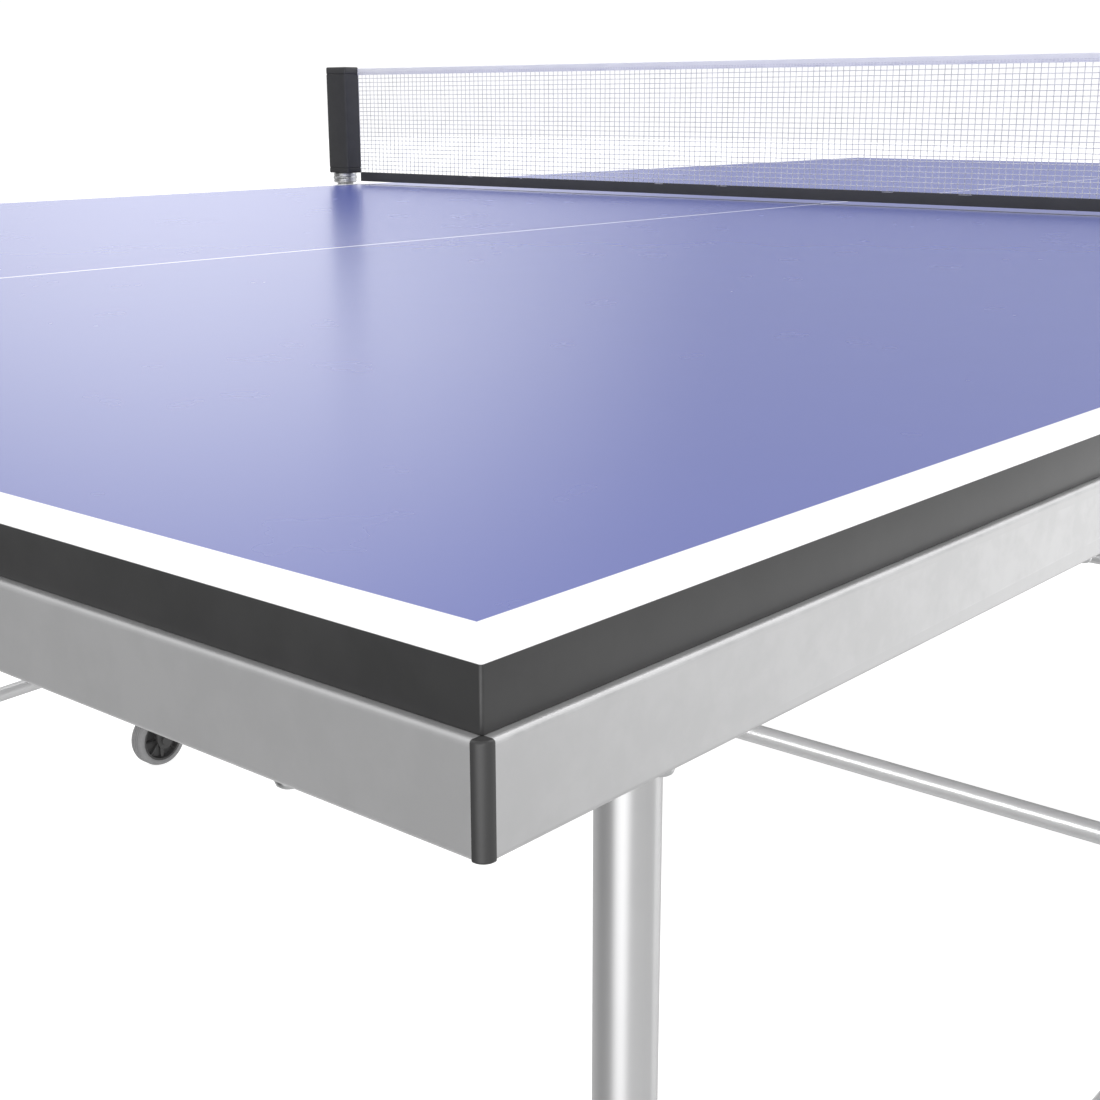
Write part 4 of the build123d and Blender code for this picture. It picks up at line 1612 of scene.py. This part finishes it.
@dataclass
class Studio:
    """Pale floor, surrounding light, lamps and the camera."""

    camera_at: Point = (-1.600165, -0.979478, 0.871303)
    camera_forward: Point = (0.73049, 0.62913, -0.26566)
    camera_right: Point = (0.65198, -0.75823, -0.00284)
    focal_share: float = 1629.3 / 1100
    sensor: float = 36.0
    surround: float = 0.72
    backdrop: float = 1.05
    floor_reach: float = 30.0
    floor_matt: float = 0.42
    floor_glow: float = 0.83

    def build(self) -> None:
        """Sets up the studio."""
        bpy.context.scene.view_settings.view_transform = "Standard"
        self.build_camera()
        self.build_floor()
        self.build_surroundings()
        self.build_lamps()

    def build_camera(self) -> None:
        """Places the camera."""
        data = bpy.data.cameras.new("Camera")
        data.sensor_width = self.sensor
        data.lens = self.focal_share * self.sensor
        data.clip_start = 0.02
        data.clip_end = 100.0
        camera = bpy.data.objects.new("Camera", data)
        forward = Vector(self.camera_forward).normalized()
        right = Vector(self.camera_right).normalized()
        up = right.cross(forward)
        turn = Matrix((right, up, -forward)).transposed().to_4x4()
        camera.matrix_world = Matrix.Translation(self.camera_at) @ turn
        bpy.context.scene.collection.objects.link(camera)
        bpy.context.scene.camera = camera

    def build_floor(self) -> None:
        """Lays a plain pale floor, lit a little from within so that shadows stay faint."""
        reach = self.floor_reach
        data = bpy.data.meshes.new("studio_floor")
        corners = [(-reach, -reach, 0), (reach, -reach, 0), (reach, reach, 0), (-reach, reach, 0)]
        data.from_pydata(corners, [], [(0, 1, 2, 3)])
        floor = bpy.data.objects.new("studio_floor", data)
        material = bpy.data.materials.new("Studio floor")
        material.use_nodes = True
        material.node_tree.nodes.clear()
        graph = Graph(material.node_tree)
        matt = graph.add("ShaderNodeBsdfDiffuse")
        graph.feed(matt.inputs["Color"], (self.floor_matt,) * 3)
        glow = graph.add("ShaderNodeEmission")
        graph.feed(glow.inputs["Strength"], self.floor_glow)
        both = graph.add("ShaderNodeAddShader")
        graph.feed(both.inputs[0], matt.outputs[0])
        graph.feed(both.inputs[1], glow.outputs[0])
        output = graph.add("ShaderNodeOutputMaterial")
        graph.feed(output.inputs["Surface"], both.outputs[0])
        data.materials.append(material)
        bpy.context.scene.collection.objects.link(floor)
        floor.visible_glossy = False
        floor.visible_diffuse = False

    def build_surroundings(self) -> None:
        """Wraps the scene in white light with brighter and dimmer panels."""
        world = bpy.data.worlds.new("Studio")
        world.use_nodes = True
        world.node_tree.nodes.clear()
        graph = Graph(world.node_tree)
        way = graph.add("ShaderNodeTexCoord").outputs["Generated"]
        level: Feed = self.surround
        for panel in PANELS:
            facing = graph.add("ShaderNodeVectorMath", operation="DOT_PRODUCT")
            graph.feed(facing.inputs[0], way)
            facing.inputs[1].default_value = Vector(panel.direction).normalized()
            extra = graph.fit(facing.outputs["Value"], panel.start, panel.end, 0.0, panel.gain)
            level = graph.math("ADD", extra, level)
        dim = graph.add("ShaderNodeBackground")
        graph.feed(dim.inputs["Strength"], level)
        dim.inputs["Color"].default_value = (1.0, 1.0, 1.0, 1.0)
        white = graph.add("ShaderNodeBackground")
        white.inputs["Color"].default_value = (1.0, 1.0, 1.0, 1.0)
        white.inputs["Strength"].default_value = self.backdrop
        seen = graph.add("ShaderNodeLightPath")
        choose = graph.add("ShaderNodeMixShader")
        graph.feed(choose.inputs[0], seen.outputs["Is Camera Ray"])
        graph.feed(choose.inputs[1], dim.outputs[0])
        graph.feed(choose.inputs[2], white.outputs[0])
        output = graph.add("ShaderNodeOutputWorld")
        graph.feed(output.inputs["Surface"], choose.outputs[0])
        bpy.context.scene.world = world

    def build_lamps(self) -> None:
        """Hangs soft lamps overhead, behind the viewer and low under the free end."""
        lamps = (("Overhead", (0.6, 0.4, 3.2), (0.2, 0.0, 0.7), (3.5, 2.5), 46.0),
                 ("Low lamp", (-1.05, -0.1, 0.62), (-0.4, 0.1, 0.30), (1.0, 0.16), 4.5),
                 ("Tall lamp", (-2.9, -2.6, 1.2), (-1.1, -0.6, 0.5), (0.5, 2.4), 16.0))
        for name, at, target, size, power in lamps:
            data = bpy.data.lights.new(name, "AREA")
            data.shape = "RECTANGLE"
            data.size, data.size_y = size
            data.energy = power
            lamp = bpy.data.objects.new(name, data)
            lamp.location = at
            lamp.visible_camera = False
            aim = Vector(target) - Vector(at)
            lamp.rotation_euler = aim.to_track_quat("-Z", "Y").to_euler()
            bpy.context.scene.collection.objects.link(lamp)


def main() -> None:
    """Builds the table from the floor of the studio up."""
    logging.basicConfig(level=logging.INFO, format="%(message)s")
    Studio().build()
    details = Details()
    for half in Half:
        TableTop(half, details).build()
        LegSet(half, details).build()
        for side in Side:
            Castor(half, side, details).build()
    Trolley(details).build()
    Net(details).build()


if __name__ == "__main__":
    main()
